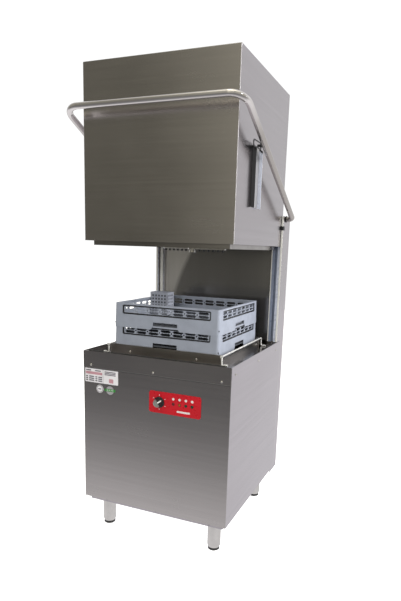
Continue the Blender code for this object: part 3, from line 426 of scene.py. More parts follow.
def slab(name, low, high, look, body, slot, **settings):
    """A plain box as a piece of its own."""
    shape = bmesh.new()
    box(shape, low, high)
    return finish(name, shape, look, body, slot, **settings)


def revolve(shape, profile, centre, axis="Z", sides=32, ring=False):
    """Revolve (radius, height) points about a line through a centre."""
    turn = TURN_TO_AXIS[axis]
    loops = [
        [Vector(centre) + turn @ Vector((a, b, height)) for a, b in circle((0, 0), radius, sides)]
        for radius, height in profile
    ]
    bridge(shape, loops, closed=ring)


def turned(name, profile, centre, axis, sides, look, body, slot, replaces=(), ring=False):
    """A revolved profile as a piece of its own."""
    shape = bmesh.new()
    revolve(shape, profile, centre, axis, sides, ring)
    return finish(name, shape, look, body, slot, replaces)


def hoop(shape, centre, half, steps, corner_of, segments=6):
    """A closed band round a centre, through steps of (inset from the half sizes, height)."""
    loops = []
    for inset, z in steps:
        reach = (half[0] - inset, half[1] - inset)
        outline = rounded((-reach[0], -reach[1]), reach, corner_of(inset), segments)
        loops.append([Vector((x, y, z)) + centre for x, y in outline])
    bridge(shape, loops, closed=True)


def bent_path(corners, radius, segments):
    """A polyline with its inner corners rounded to a bend radius."""
    corners = [Vector(corner) for corner in corners]
    path = [corners[0]]
    for before, here, after in zip(corners, corners[1:], corners[2:]):
        back = (before - here).normalized()
        ahead = (after - here).normalized()
        half = 0.5 * back.angle(ahead)
        centre = here + (back + ahead).normalized() * (radius / math.sin(half))
        first = here + back * (radius / math.tan(half)) - centre
        last = here + ahead * (radius / math.tan(half)) - centre
        for k in range(segments + 1):
            path.append(centre + first.slerp(last, k / segments).normalized() * radius)
    path.append(corners[-1])
    return path


def sweep(shape, path, radius, sides=24, bore=0.0):
    """A round bar or tube along a path."""
    tangents = [(b - a).normalized() for a, b in zip(path, path[1:])]
    between = [(a + b).normalized() for a, b in zip(tangents, tangents[1:])]
    tangents = [tangents[0], *between, tangents[-1]]
    side = tangents[0].orthogonal().normalized()
    outer, inner = [], []
    for point, heading in zip(path, tangents):
        side = (side - heading * side.dot(heading)).normalized()
        up = heading.cross(side)
        spokes = [side * a + up * b for a, b in circle((0, 0), 1.0, sides)]
        outer.append([point + spoke * radius for spoke in spokes])
        inner.append([point + spoke * bore for spoke in spokes])
    if bore:
        bridge(shape, outer + inner[::-1], closed=True)
    else:
        bridge(shape, outer)


def plate(shape, outline, holes, place, back, front):
    """A flat sheet with holes; place(u, v, depth) carries its (u, v) loops into space."""
    loops = [outline, *holes]
    flat = [[Vector((u, v, 0.0)) for u, v in loop] for loop in loops]
    points = [point for loop in loops for point in loop]
    low = [shape.verts.new(place(u, v, back)) for u, v in points]
    high = [shape.verts.new(place(u, v, front)) for u, v in points]
    for a, b, c in tessellate_polygon(flat):
        shape.faces.new((low[a], low[b], low[c]))
        shape.faces.new((high[c], high[b], high[a]))
    start = 0
    for loop in loops:
        for k in range(len(loop)):
            here, after = start + k, start + (k + 1) % len(loop)
            shape.faces.new((low[here], low[after], high[after], high[here]))
        start += len(loop)


def grid_holes(low, high, columns, rows, rib):
    """A field of rectangular holes between two (u, v) corners, with ribs between them."""
    pitch_u = (high[0] - low[0]) / columns
    pitch_v = (high[1] - low[1]) / rows
    holes = []
    for column in range(columns):
        for row in range(rows):
            u = low[0] + column * pitch_u + 0.5 * rib
            v = low[1] + row * pitch_v + 0.5 * rib
            holes.append(rectangle((u, v), (u + pitch_u - rib, v + pitch_v - rib)))
    return holes


# ---------------- CAD nodes that stay

NODE_LOOKS = {
    "brushed_steel": ["front_panel", "top_fascia"],
    "satin_steel": ["side_panel_left", "side_panel_right", "base_frame", "rinse_boiler"],
    "upright_steel": ["column_shell", "column_cap", "hood_rear_wall", "cross_shaft"],
    "inner_steel": ["wash_tank", "tank_strainer", "hood_skirt"],
    "chamber_steel": ["chamber_back_panel"],
    "polished_steel": [
        *("tank_heater", "lower_manifold", "upper_manifold", "overflow_pipe", "wash_riser"),
        *(f"{level}_{use}_arm" for level in ("upper", "lower") for use in ("wash", "rinse")),
    ],
    "motor_grey": ["wash_pump", "pump_motor"],
    "box_grey": ["electrical_box"],
    "red_panel": ["control_panel"],
    "black_plastic": [f"{name}_{side}" for name in ("shaft_bush", "lift_roller") for side, _ in SIDES],
    # the carriages show as a pale line: painted sheen
    "bright_steel": [f"hood_carriage_{side}" for side, _ in SIDES],
}


def dress_frame():
    """Give each CAD node that stays in view its node material."""
    for look, names in NODE_LOOKS.items():
        for name in names:
            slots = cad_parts[name].data.materials
            slots.clear()
            slots.append(LOOKS[look])


# ---------------- screws


def screw_heads(name, places, axis, side, radius, look="screw_steel"):
    """Domed heads with a driver recess, set against a face that looks along side of an axis."""
    shape = bmesh.new()
    rise = side * radius
    profile = [(radius, 0.0), (radius, 0.15 * rise)]
    profile += [(r, h * side) for r, h in arc((0.0, -0.2 * radius), 1.06 * radius, 22, 66, 4)]
    profile += [(0.40 * radius, 0.76 * rise), (0.36 * radius, 0.35 * rise)]
    for place in places:
        revolve(shape, profile, place, axis, 16)
    finish(name, shape, look, "cabinet")


def add_screws():
    """Screws along the fascia, the plinth, the rack support, the column and the side panels."""
    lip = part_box("base_frame")[0]
    lip_z = 0.5 * (lip.z + PANEL_LOW.z)
    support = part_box("rack_support")[0]
    for name, across, y, z, radius, look in (
        ("fascia", (-0.302, 0.0, 0.302), FASCIA_LOW.y, FASCIA_LOW.z + 0.013, 0.0050, "screw_steel"),
        ("plinth", (-0.240, 0.010, 0.262), lip.y, lip_z, 0.0042, "label_ink"),
        ("support", (-0.171, 0.146), support.y, 0.816, 0.0050, "screw_steel"),
    ):
        screw_heads(f"{name}_screws", [(x, y, z) for x in across], "Y", -1, radius, look)
    heights = [COLUMN_LOW.z + 0.08 + k * 0.285 for k in range(5)]
    reach = COLUMN_HIGH.x - 0.016
    rear = [(side * reach, COLUMN_HIGH.y, z) for _, side in SIDES for z in heights]
    screw_heads("column_screws", rear, "Y", 1, 0.0042)
    for side_name, side in SIDES:
        x = side * SIDE_HIGH.x
        places = [(x, FRONT_Y + depth, 0.786) for depth in (0.050, 0.350, 0.640)]
        screw_heads(f"side_screws_{side_name}", places, "X", side, 0.0048)


# ---------------- hood

HOOD_FOLD = 0.0034  # bend radius of the hood's edges
CHANNEL_SHEET = 0.0020
CHANNEL_FRONT = FRONT_Y + 0.170
CHANNEL_REAR = FRONT_Y + 0.250
CHANNEL_FOOT = 1.431
CHANNEL_BASE = HOOD_HIGH.x + 0.0003
CHANNEL_LIP = CHANNEL_BASE + 0.0150
CHANNEL_SLOPE = 0.012  # the flanges' upper ends slope down and outwards


def hood_plan(inset):
    """Open path round the hood's left side, front and right side."""
    half = HOOD_HIGH.x - inset
    front = HOOD_LOW.y + inset
    bend = max(HOOD_FOLD - inset, 0.0004)
    path = [(-half, HOOD_HIGH.y)]
    path += arc((bend - half, front + bend), bend, 180, 270, 6)
    path += arc((half - bend, front + bend), bend, 270, 360, 6)
    path.append((half, HOOD_HIGH.y))
    return path


def make_hood_skin():
    """Folded hood: rounded upright edges and a rolled top edge, open below and at the back."""
    roll = arc((HOOD_FOLD, HOOD_HIGH.z - HOOD_FOLD), HOOD_FOLD, 180, 90, 4)
    steps = [(0.0, HOOD_LOW.z), *roll]
    shape = bmesh.new()
    rings = [[shape.verts.new((x, y, z)) for x, y in hood_plan(inset)] for inset, z in steps]
    for low, high in zip(rings, rings[1:]):
        for k in range(len(low) - 1):
            shape.faces.new((low[k], low[k + 1], high[k + 1], high[k]))
    shape.faces.new(rings[-1])
    # faces on the front bends get the third look, a painted highlight along the folds
    for face in shape.faces:
        centre = face.calc_center_median()
        on_cheek = abs(centre.x) > HOOD_HIGH.x - 0.0006
        at_edge = abs(centre.x) > HOOD_HIGH.x - 0.75 * HOOD_FOLD
        on_bend = at_edge and centre.y < HOOD_LOW.y + 0.5 * HOOD_FOLD
        face.material_index = 1 if on_cheek else 2 if on_bend else 0
    steel = "brushed_steel"
    made = finish("hood_skin", shape, steel, "hood", steel, ("hood_shell",), 30.0, shell=SHEET)
    made.data.materials.append(LOOKS["satin_steel"])
    made.data.materials.append(LOOKS["fold_edge"])


def make_channel(side_name, side, top):
    """Two flanges that stand off a cheek of the hood, with a web between them."""
    flange = [
        (side * CHANNEL_BASE, CHANNEL_FOOT + 0.004),
        (side * CHANNEL_LIP, CHANNEL_FOOT),
        (side * CHANNEL_LIP, top - CHANNEL_SLOPE),
        (side * CHANNEL_BASE, top),
    ]
    # the front flange is near-black, painted shade; the rear flange is blue-white, painted reflection
    for name, y, look, stand_in in (
        ("channel_front", CHANNEL_FRONT, "flange_shade", (f"hood_bracket_{side_name}",)),
        ("channel_rear", CHANNEL_REAR, "rail_aluminium", ()),
    ):
        shape = bmesh.new()
        extrude(shape, flange, "Y", y, y + CHANNEL_SHEET)
        finish(f"{name}_{side_name}", shape, look, "hood", "satin_steel", stand_in)
    low = (side * CHANNEL_BASE, CHANNEL_FRONT + CHANNEL_SHEET, CHANNEL_FOOT + 0.004)
    high = (side * (CHANNEL_BASE + 0.0010), CHANNEL_REAR, top)
    slab(f"channel_web_{side_name}", low, high, "channel_web", "hood", "satin_steel")


def make_lift_track(side_name, side, level):
    """The slotted bar on a channel's top, in which the handle's roller runs."""
    low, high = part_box(f"hood_bracket_{side_name}")
    face = max(abs(low.x), abs(high.x))
    slot = 0.0092
    margin = 0.008
    bar = rounded((low.y, level - 0.0135), (high.y, level + 0.0135), 0.0130)
    track = rounded((low.y + margin, level - slot), (high.y - margin, level + slot), 0.009)
    shape = bmesh.new()
    plate(shape, bar, [track], lambda u, v, d: Vector((side * d, u, v)), face - 0.003, face)
    name = f"lift_track_{side_name}"
    finish(name, shape, "flange_shade", "hood", "satin_steel", bevel=0.0004)


def make_channel_plugs(side_name, side, top):
    """Black caps on a channel's upper ends, and a bump stop in its foot."""
    cap = [
        (side * CHANNEL_BASE, top - 0.008),
        (side * CHANNEL_LIP, top - 0.008 - CHANNEL_SLOPE),
        (side * CHANNEL_LIP, top + 0.001 - CHANNEL_SLOPE),
        (side * CHANNEL_BASE, top + 0.001),
    ]
    overlap = 0.0006
    shape = bmesh.new()
    for y in (CHANNEL_FRONT, CHANNEL_REAR):
        extrude(shape, cap, "Y", y - overlap, y + CHANNEL_SHEET + overlap)
    front = CHANNEL_FRONT + CHANNEL_SHEET + SKIN
    low = (side * (CHANNEL_BASE + 0.0012), front, CHANNEL_FOOT + 0.006)
    high = (side * (CHANNEL_BASE + 0.0070), CHANNEL_FRONT + 0.016, CHANNEL_FOOT + 0.018)
    box(shape, low, high)
    finish(f"channel_plugs_{side_name}", shape, "black_plastic", "hood", "black_plastic")


def make_hood_brackets():
    """Lift channels on the hood's cheeks, with a slotted bar on top for the handle's rollers."""
    for side_name, side in SIDES:
        level = middle(*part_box(f"lift_roller_{side_name}")).z
        top = level - 0.0005
        make_channel(side_name, side, top)
        make_lift_track(side_name, side, level)
        make_channel_plugs(side_name, side, top)


# ---------------- handle


def make_handle():
    """One bent tube from pivot to pivot: a wide bow in front and a tight bend at each pivot."""
    low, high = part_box("handle_bar")
    pivot = middle(*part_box("shaft_bush_right"))
    radius = 0.0126
    half = high.x - radius
    end = 0.3445
    front_y, front_z = low.y + radius, high.z - radius
    corners = [
        (-end, pivot.y, pivot.z),
        (-half, pivot.y, pivot.z),
        (-half, front_y, front_z),
        (half, front_y, front_z),
        (half, pivot.y, pivot.z),
        (end, pivot.y, pivot.z),
    ]
    tight = bent_path(corners[:3], 0.020, 10)
    wide = bent_path(corners[1:5], 0.062, 16)
    other = bent_path(corners[3:], 0.020, 10)
    shape = bmesh.new()
    sweep(shape, tight[:-1] + wide[1:-1] + other[1:], radius, 32, bore=radius - 0.002)
    finish("handle_tube", shape, "tube_steel", "handle", "polished_steel", ("handle_bar",))


# ---------------- racks

RACK_COLUMNS = 7
RACK_CORNER = 0.014
RACK_GAP = 0.0095  # from the outer wall's face to the inner wall's face
RACK_WALL = 0.0020
RACK_DEEP = RACK_GAP + RACK_WALL
RACK_SLOPE = 0.033  # the walls lean inwards, so that a rim nests in the skirt above it
RACK_SKIRT = 0.0165  # single-walled part below the floor
RACK_FLOOR = 0.0225
WINDOW_HALF = 0.2090
WINDOW_LOW = 0.0585
WINDOW_DROP = 0.0075  # from the rim down to the window
WINDOW_CORNER = 0.007
LATTICE_EDGE = 0.0060
LATTICE_POST = 0.0021  # half the width of an upright
LATTICE_BEAM = 0.0013  # half the height of a crossbar
LATTICE_CUT = 0.0078


def chamfered(low, high, cut):
    """Rectangle with its corners cut off."""
    (u0, v0), (u1, v1) = low, high
    lower = [(u0 + cut, v0), (u1 - cut, v0), (u1, v0 + cut), (u1, v1 - cut)]
    upper = [(u1 - cut, v1), (u0 + cut, v1), (u0, v1 - cut), (u0, v0 + cut)]
    return lower + upper


def lattice_holes(span, low, high):
    """Two rows of eight-sided cells with small diamonds where four cells meet."""
    pitch = span / RACK_COLUMNS
    centre = 0.5 * (low + high)
    reach = LATTICE_CUT - LATTICE_POST - LATTICE_BEAM
    holes = []
    for column in range(RACK_COLUMNS):
        edge = -0.5 * span + column * pitch
        u0, u1 = edge + LATTICE_POST, edge + pitch - LATTICE_POST
        for v0, v1 in ((low, centre), (centre, high)):
            corners = (u0, v0 + LATTICE_BEAM), (u1, v1 - LATTICE_BEAM)
            holes.append(chamfered(*corners, LATTICE_CUT))
        if column:
            holes.append(circle((edge, centre), reach, 4))
    return holes


def notched(half, bottom, top):
    """A wall's outline with a finger notch in its lower edge."""
    steps = [(0.0690, bottom), (0.0580, max(0.0130, bottom + 0.001)), (0.0570, 0.0320)]
    left = [(-u, v) for u, v in steps]
    right = [(u, v) for u, v in reversed(steps)]
    return [(-half, bottom), *left, *right, (half, bottom), (half, top), (-half, top)]


def wall_place(centre, reach, facing, slope=0.0):
    """Carry (along, height, depth) to an upright wall; depth is measured inwards from the face."""
    heading = Matrix.Rotation(math.radians(90.0 * facing), 3, "Z")

    def place(u, v, depth):
        return heading @ Vector((u, -(reach - depth - slope * v), v)) + centre

    return place


def floor_place(centre):
    """Carry (x, y, height) to a level sheet over a centre."""
    return lambda u, v, height: Vector((u, v, height)) + centre


def corner_post(shape, centre, half, high, quarter):
    """A quarter-round piece of the outer wall between two flat walls."""
    pivot_at = half - RACK_CORNER
    turn = Matrix.Rotation(math.radians(90.0 * quarter), 3, "Z")
    loops = []
    for z in (0.0, high):
        radius = RACK_CORNER - RACK_SLOPE * z
        outer = arc((pivot_at, -pivot_at), radius, -90, 0, 6)
        inner = arc((pivot_at, -pivot_at), max(radius - RACK_WALL, 0.0008), 0, -90, 6)
        loops.append([turn @ Vector((x, y, z)) + centre for x, y in outer + inner])
    bridge(shape, loops)


def rack_rim(shape, centre, half, low, high):
    """The flat band on top of a rack's two walls."""
    corners = ((0.0, low), (0.0, high), (RACK_DEEP, high), (RACK_DEEP, low))
    steps = [(depth + RACK_SLOPE * z, z) for depth, z in corners]
    hoop(shape, centre, (half, half), steps, lambda inset: max(RACK_CORNER - inset, 0.001))


def grid_floor(shape, centre, half):
    """The rack's open floor: a square mesh of ribs inside a border."""
    field = half - 0.012
    holes = grid_holes((-field, -field), (field, field), 18, 18, 0.0055)
    outline = rectangle((-half, -half), (half, half))
    plate(shape, outline, holes, floor_place(centre), RACK_SKIRT, RACK_FLOOR)


def window_reveal(shape, place, low, high):
    """The short return that joins the outer wall to the inner one round a window."""
    lip = 0.0012
    start = 0.0001
    loops = []
    for grow, depth in ((0.0, start), (lip, start), (lip, RACK_GAP), (0.0, RACK_GAP)):
        reach = WINDOW_HALF + grow
        outline = rounded((-reach, low - grow), (reach, high + grow), WINDOW_CORNER)
        loops.append([place(u, v, depth) for u, v in outline])
    bridge(shape, loops, closed=True)


def window_shadow(place, window, low, high):
    """A black plate in the recess between a rack window's edge and its lattice: painted shadow."""
    reach = WINDOW_HALF - LATTICE_EDGE
    inner = rounded((-reach, low + LATTICE_EDGE), (reach, high - LATTICE_EDGE), 0.004)
    edge = [(u * 0.9997, v) for u, v in window]
    shape = bmesh.new()
    plate(shape, edge, [inner], place, 0.0030, 0.0040)
    return shape


def make_rack(name, node_name, body, covered=False):
    """A double-walled plate rack: windowed outer skin, latticed inner wall and ribbed floor.

    The inner walls of a covered rack, and the floors of all racks, take a darker look: painted shade
    for the inside.
    """
    low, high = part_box(node_name)
    centre = middle(low, high)
    centre.z = low.z
    half = 0.5 * (high.x - low.x)
    top = high.z - low.z
    window_high = top - WINDOW_DROP
    flat = half - RACK_CORNER
    inner_flat = half - RACK_DEEP - RACK_SLOPE * top
    under_rim = top - RACK_WALL
    window = rounded((-WINDOW_HALF, WINDOW_LOW), (WINDOW_HALF, window_high), WINDOW_CORNER)
    span = 2 * (WINDOW_HALF - LATTICE_EDGE)
    cells = lattice_holes(span, WINDOW_LOW + LATTICE_EDGE, window_high - LATTICE_EDGE)
    lattice = rectangle((-WINDOW_HALF, WINDOW_LOW), (WINDOW_HALF, window_high))
    plain = rectangle((-inner_flat, RACK_SKIRT), (inner_flat, under_rim))
    shape = bmesh.new()
    inside = bmesh.new()
    for facing in range(4):
        place = wall_place(centre, half, facing, RACK_SLOPE)
        lining = notched(inner_flat, RACK_SKIRT, under_rim) if facing % 2 == 0 else plain
        plate(shape, notched(flat, 0.0, under_rim), [window], place, 0.0, RACK_WALL)
        plate(shape, lattice, cells, place, 0.0042, RACK_GAP)
        plate(inside if covered else shape, lining, [window], place, RACK_GAP, RACK_DEEP)
        window_reveal(shape, place, WINDOW_LOW, window_high)
        corner_post(shape, centre, half, under_rim, facing)
        # painted shadow: a black plate in each window's recess
        shadow_plate = window_shadow(place, window, WINDOW_LOW, window_high)
        finish(f"{name}_trim_{facing}", shadow_plate, "black_plastic", body, "black_plastic")
    rack_rim(shape, centre, half, under_rim, top)
    grid_floor(inside, centre, half - RACK_WALL - 0.001)
    finish(f"{name}_inside", inside, "rack_dark", body, "rack_plastic")
    finish(name, shape, "rack_plastic", body, "rack_plastic", (node_name,))


def basket_wall(shape, place, half, height):
    """A basket side: a lattice of small rectangular cells under a plain lip."""
    flat = half - 0.006
    columns = round(2 * flat / 0.0155)
    holes = grid_holes((-flat, 0.006), (flat, height - 0.008), columns, 6, 0.0070)
    plate(shape, rectangle((-half, 0.0), (half, height)), holes, place, 0.0, 0.0018)


def make_basket():
    """A latticed cutlery basket with a rolled lip, and a dark sheet inside it as painted shade behind
    the lattice.
    """
    low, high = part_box("cutlery_basket")
    centre = middle(low, high)
    centre.z = low.z
    half = (0.5 * (high.x - low.x), 0.5 * (high.y - low.y))
    height = high.z - low.z
    shape = bmesh.new()
    for facing in range(4):
        across, reach = half if facing % 2 == 0 else half[::-1]
        basket_wall(shape, wall_place(centre, reach, facing), across, height)
    lip = height - 0.005
    fold = 0.0012
    steps = ((0.0, lip), (-fold, lip), (-fold, height), (0.003, height), (0.003, height - fold))
    hoop(shape, centre, half, steps, lambda inset: 0.003, 3)
    field = (half[0] - 0.002, half[1] - 0.002)
    holes = grid_holes((-field[0], -field[1]), field, 5, 5, 0.0024)
    outline = rectangle((-half[0], -half[1]), half)
    plate(shape, outline, holes, floor_place(centre), 0.0, 0.002)
    finish("basket_lattice", shape, "basket_plastic", "basket", "rack_plastic", ("cutlery_basket",))
    # painted shade: a dark band just inside the basket's walls
    inner_shade = bmesh.new()
    steps = rectangle((0.0026, 0.0024), (0.0034, height - 0.010))
    hoop(inner_shade, centre, half, steps, lambda inset: 0.002, 2)
    finish("basket_inner_shade", inner_shade, "rack_dark", "basket", "rack_plastic")


def make_rack_rods():
    """Bright bent rods beside the racks, with a sleeved foot and a clip at each front corner."""
    radius = 0.0035
    bore, sleeve = radius + 0.0002, radius + 0.0022
    for side_name, side in SIDES:
        node_name = f"rack_guide_{side_name}"
        low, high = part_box(node_name)
        tip, inner = (low.x, high.x - radius) if side < 0 else (high.x, low.x + radius)
        foot, top = low.z + radius, high.z - radius
        front, rear = low.y + radius, high.y - radius
        corners = [
            (tip, front, foot),
            (inner, front, foot),
            (inner, front, top),
            (inner, rear, top),
            (inner, rear, foot),
            (tip, rear, foot),
        ]
        shape = bmesh.new()
        sweep(shape, bent_path(corners, 0.008, 8), radius, 16)
        name = f"rack_rod_{side_name}"
        # the rods and clips wear a painted sheen
        finish(name, shape, "bright_steel", "cabinet", "polished_steel", (node_name,))
        start = inner + side * 0.010
        shape = bmesh.new()
        collar = rectangle((bore, 0.0), (sleeve, tip - start))
        revolve(shape, collar, (start, front, foot + 0.0016), "X", 24, ring=True)
        clip_low = (inner - 0.006, front - radius - 0.0016, top - 0.004)
        box(shape, clip_low, (inner + 0.006, front - radius, top + 0.0052))
        name = f"rack_clip_{side_name}"
        finish(name, shape, "bright_steel", "cabinet", "polished_steel", bevel=0.0005)


def make_rack_support():
    """A ring of angle under the racks, with a stop plate in front and another behind."""
    low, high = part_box("rack_support")
    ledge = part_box("rack_lower")[0].z - 0.0020
    bend, tuck = 0.0015, SHEET + 0.0002
    steps = [(tuck, low.z), (tuck, ledge - bend), (tuck + bend, ledge), (0.030, ledge)]
    steps += [(0.030, ledge - SHEET), (tuck + SHEET + bend, ledge - SHEET)]
    steps += [(tuck + SHEET, ledge - SHEET - bend), (tuck + SHEET, low.z)]
    centre = middle(low, high)
    half = (high.x - centre.x, high.y - centre.y)
    centre.z = 0.0
    shape = bmesh.new()
    hoop(shape, centre, half, steps, lambda inset: max(0.008 - inset, 0.001))
    finish("support_ring", shape, "inner_steel", "cabinet", "inner_steel", ("rack_support",))
    shape = bmesh.new()
    for face, inwards in ((low.y, 1), (high.y, -1)):
        end, wall = face + inwards * 0.012, face + inwards * SHEET
        outer = [(low.x, end), (low.x, face), (high.x, face), (high.x, end)]
        left, right = low.x + SHEET, high.x - SHEET
        inner = [(right, end), (right, wall), (left, wall), (left, end)]
        extrude(shape, outer + inner, "Z", low.z, high.z)
    finish("support_plates", shape, "plate_steel", "cabinet", "inner_steel", bevel=0.0004)


# ---------------- rails, column and front


def make_rails():
    """Slim rails at the chamber's rear corners: the left one with a cheek, the right one doubled."""
    for side_name, side in SIDES:
        node_name = f"guide_rail_{side_name}"
        low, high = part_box(node_name)
        outer, inner = max(abs(low.x), abs(high.x)), min(abs(low.x), abs(high.x))
        lip, web, cheek = low.y + 0.0030, high.y - 0.0020, low.y - 0.0200
        # pale cream edge strips are painted highlight; the darker strips are painted shade
        lip_look = "cream_edge" if side < 0 else "rail_aluminium"
        strips = [("rail_lip", outer - 0.0185, outer - 0.0045, low.y, lip, lip_look)]
        if side < 0:
            edge = outer + 0.0040
            strips.append(("rail_cheek", edge, edge + 0.0020, cheek, low.y, "rail_aluminium"))
        else:
            second = inner + 0.0048
            strips.append(("rail_web", inner + 0.0020, outer - 0.0062, web, high.y, "rail_shade"))
            strips.append(("rail_inner_lip", second, second + 0.0137, low.y, lip, "rail_shade"))
            strips.append(("rail_edge", inner, inner + 0.0046, low.y, lip, "cream_edge"))
        for name, first, last, front, back, look in strips:
            shape = bmesh.new()
            box(shape, (side * first, front, low.z), (side * last, back, high.z))
            name = f"{name}_{side_name}"
            stand_in = (node_name,) if name.startswith("rail_lip") else ()
            finish(name, shape, look, "cabinet", "rail_aluminium", stand_in, bevel=0.0004)


def make_column_returns():
    """Folded returns that close the slots between the hood's cheeks and the column."""
    for side_name, side in SIDES:
        low = (side * (HOOD_HIGH.x + 0.0015), COLUMN_LOW.y - SHEET, SIDE_HIGH.z + 0.0010)
        high = (side * COLUMN_HIGH.x, COLUMN_LOW.y, COLUMN_HIGH.z - 0.0010)
        name = f"column_return_{side_name}"
        # painted highlight: the returns show as a pale line down the column's front edges
        slab(name, low, high, "cream_edge", "cabinet", "satin_steel", bevel=0.0004)


def make_vent_louvres():
    """Pressed louvres low on the column's back, over the pump."""
    back = COLUMN_HIGH.y
    crest = back + 0.0055
    shape = bmesh.new()
    for row in range(8):
        z = 0.300 + row * 0.022
        outline = [(back, z), (crest, z), (crest, z + 0.0012), (back, z + 0.0120)]
        extrude(shape, outline, "X", -0.110, 0.110)
    finish("vent_louvres", shape, "upright_steel", "cabinet", "satin_steel")


def make_stop_blocks():
    """Black stops round the column's front edges, just below the handle's pivots."""
    front = COLUMN_LOW.y
    inner, outer = COLUMN_HIGH.x - 0.009, COLUMN_HIGH.x + 0.0022
    low, high = 1.364, 1.383
    for side_name, side in SIDES:
        shape = bmesh.new()
        box(shape, (side * inner, front - 0.0040, low), (side * outer, front - 0.0018, high))
        box(shape, (side * (outer - 0.0020), front, low), (side * outer, front + 0.020, high))
        name = f"stop_block_{side_name}"
        finish(name, shape, "black_plastic", "cabinet", "black_plastic", bevel=0.001)


def make_front_seams():
    """A dark strip along the cabinet's front rim as painted shadow, and at the fascia's lower edge a
    bright strip as painted highlight over a dark one as painted shadow.
    """
    face, rim = FASCIA_LOW.y, FASCIA_HIGH.z
    low, high = (-0.318, face + 0.0060, rim + 0.0002), (0.318, face + 0.0110, rim + 0.0034)
    # painted shadow: a black strip above the fascia's top edge
    slab("rim_shadow_strip", low, high, "rubber", "cabinet", "black_plastic")
    half = PANEL_HIGH.x - 0.0030
    # painted highlight over painted shadow along the fascia's lower edge
    for name, under, over, look in (
        ("fascia_edge_highlight", 0.0002, 0.0026, "screw_steel"),
        ("fascia_shadow", -0.0014, 0.0, "rubber"),
    ):
        low = (-half, face - 0.0003, FASCIA_LOW.z + under)
        high = (half, face + 0.0004, FASCIA_LOW.z + over)
        slab(name, low, high, look, "cabinet", "satin_steel")


# ---------------- feet


def make_feet():
    """A polished tube under each corner, with a threaded glide that turns in it."""
    pad = [(0.0225, 0.0), (0.0250, 0.0022), (0.0250, 0.0090), (0.0242, 0.0105)]
    pad += [(0.0190, 0.0112), (0.0060, 0.0114), (0.0060, 0.1100)]
    for corner in [f"{end}_{side_name}" for end in ("front", "rear") for side_name, _ in SIDES]:
        node_name = f"foot_sleeve_{corner}"
        low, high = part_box(node_name)
        centre = middle(low, high)
        radius = high.x - centre.x
        wall = radius - 0.0015
        height = high.z - low.z
        profile = [(radius - 0.0050, 0.0), (radius - 0.0040, 0.0006)]
        profile += [(radius - 0.0006, 0.0095), (radius, 0.0130), (radius, height)]
        profile += [(0.0070, height), (0.0070, height - 0.012), (wall, height - 0.013)]
        profile += [(wall, 0.013), (radius - 0.0062, 0.0)]
        steel, black = "polished_steel", "black_plastic"
        place = (centre.x, centre.y, low.z)
        name = f"foot_tube_{corner}"
        turned(name, profile, place, "Z", 48, steel, "cabinet", steel, (node_name,), ring=True)
        place = (centre.x, centre.y, 0.0)
        name, body, node_name = f"foot_glide_{corner}", f"foot_{corner}", f"foot_pad_{corner}"
        turned(name, pad, place, "Z", 48, "rubber", body, black, (node_name,))


# ---------------- control panel

LAMP_COLOURS = ("red_lens", "amber_lens", "green_lens", "green_lens")


def printed(name, outlines, look, face):
    """Thin printed shapes that stand on a face that looks towards -Y."""
    shape = bmesh.new()
    for outline in outlines:
        extrude(shape, outline, "Y", face - SKIN, face)
    finish(name, shape, look, "cabinet")


def tick(centre, radius, angle, length, width):
    """A short mark on a dial, pointing outwards."""
    turn = Matrix.Rotation(angle, 2)
    corners = rectangle((radius, -width), (radius + length, width))
    return [tuple(Vector(centre) + turn @ Vector(corner)) for corner in corners]


def make_panel_print():
    """Ticks round the dial, a dot over each lamp and a blank bar in place of any name."""
    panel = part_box("control_panel")[0]
    knob = middle(*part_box("selector_knob"))
    angles = [math.radians(30 + 60 * k) for k in range(6)]
    ticks = [tick((knob.x, knob.z), 0.0275, angle, 0.0050, 0.0012) for angle in angles]
    printed("dial_ticks", ticks, "white_print", panel.y)
    lamps = [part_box(f"pilot_lamp_{number}") for number in (1, 2, 3, 4)]
    dots = [circle((middle(*lamp).x, lamp[1].z + 0.0162), 0.0056, 24) for lamp in lamps]
    printed("lamp_symbols", dots, "white_print", panel.y)
    bar = middle(lamps[0][0], lamps[3][1]).x + 0.004
    low, high = panel.z + 0.0135, panel.z + 0.0215
    outline = rounded((bar - 0.030, low), (bar + 0.030, high), 0.0038)
    printed("name_bar", [outline], "white_print", panel.y)


def make_lamps():
    """Four coloured domes in black bezels."""
    wide, tight, step = 0.0064, 0.0050, -0.0016
    bezel = [(wide, 0.0), (wide, -0.0010), (0.0058, step), (tight, step), (tight, 0.0)]
    radius, rise, base = 0.0049, 0.0022, -0.0018
    angles = [math.radians(angle) for angle in (20, 40, 60, 78)]
    dome = [(radius, 0.0), (radius, base)]
    dome += [(radius * math.cos(angle), base - rise * math.sin(angle)) for angle in angles]
    black = "black_plastic"
    for number, colour in enumerate(LAMP_COLOURS, 1):
        node_name = f"pilot_lamp_{number}"
        centre = middle(*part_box(node_name))
        centre.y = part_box("control_panel")[0].y
        name = f"lamp_bezel_{number}"
        turned(name, bezel, centre, "Y", 24, black, "cabinet", black, ring=True)
        name = f"lamp_lens_{number}"
        turned(name, dome, centre, "Y", 24, colour, "cabinet", colour, (node_name,))


def knob_part(name, centre, degrees, steps, look, slot):
    """A piece of the knob from (outline, height) steps, turned about the knob's axis."""
    turn = Matrix.Rotation(math.radians(degrees), 3, "Y")
    shape = bmesh.new()
    loops = [[centre + turn @ Vector((x, height, z)) for x, z in line] for line, height in steps]
    bridge(shape, loops)
    return finish(name, shape, look, "knob", slot)


def ribbed_ring(radius):
    """A circle of 96 points; above the skirt it has shallow flutes, three points in eight."""
    flute = 0.0005 if radius < 0.0200 else 0.0
    points = circle((0.0, 0.0), 1.0, 96)
    radii = [radius - (flute if k % 8 < 3 else 0.0) for k in range(96)]
    return [(x * reach, z * reach) for (x, z), reach in zip(points, radii)]


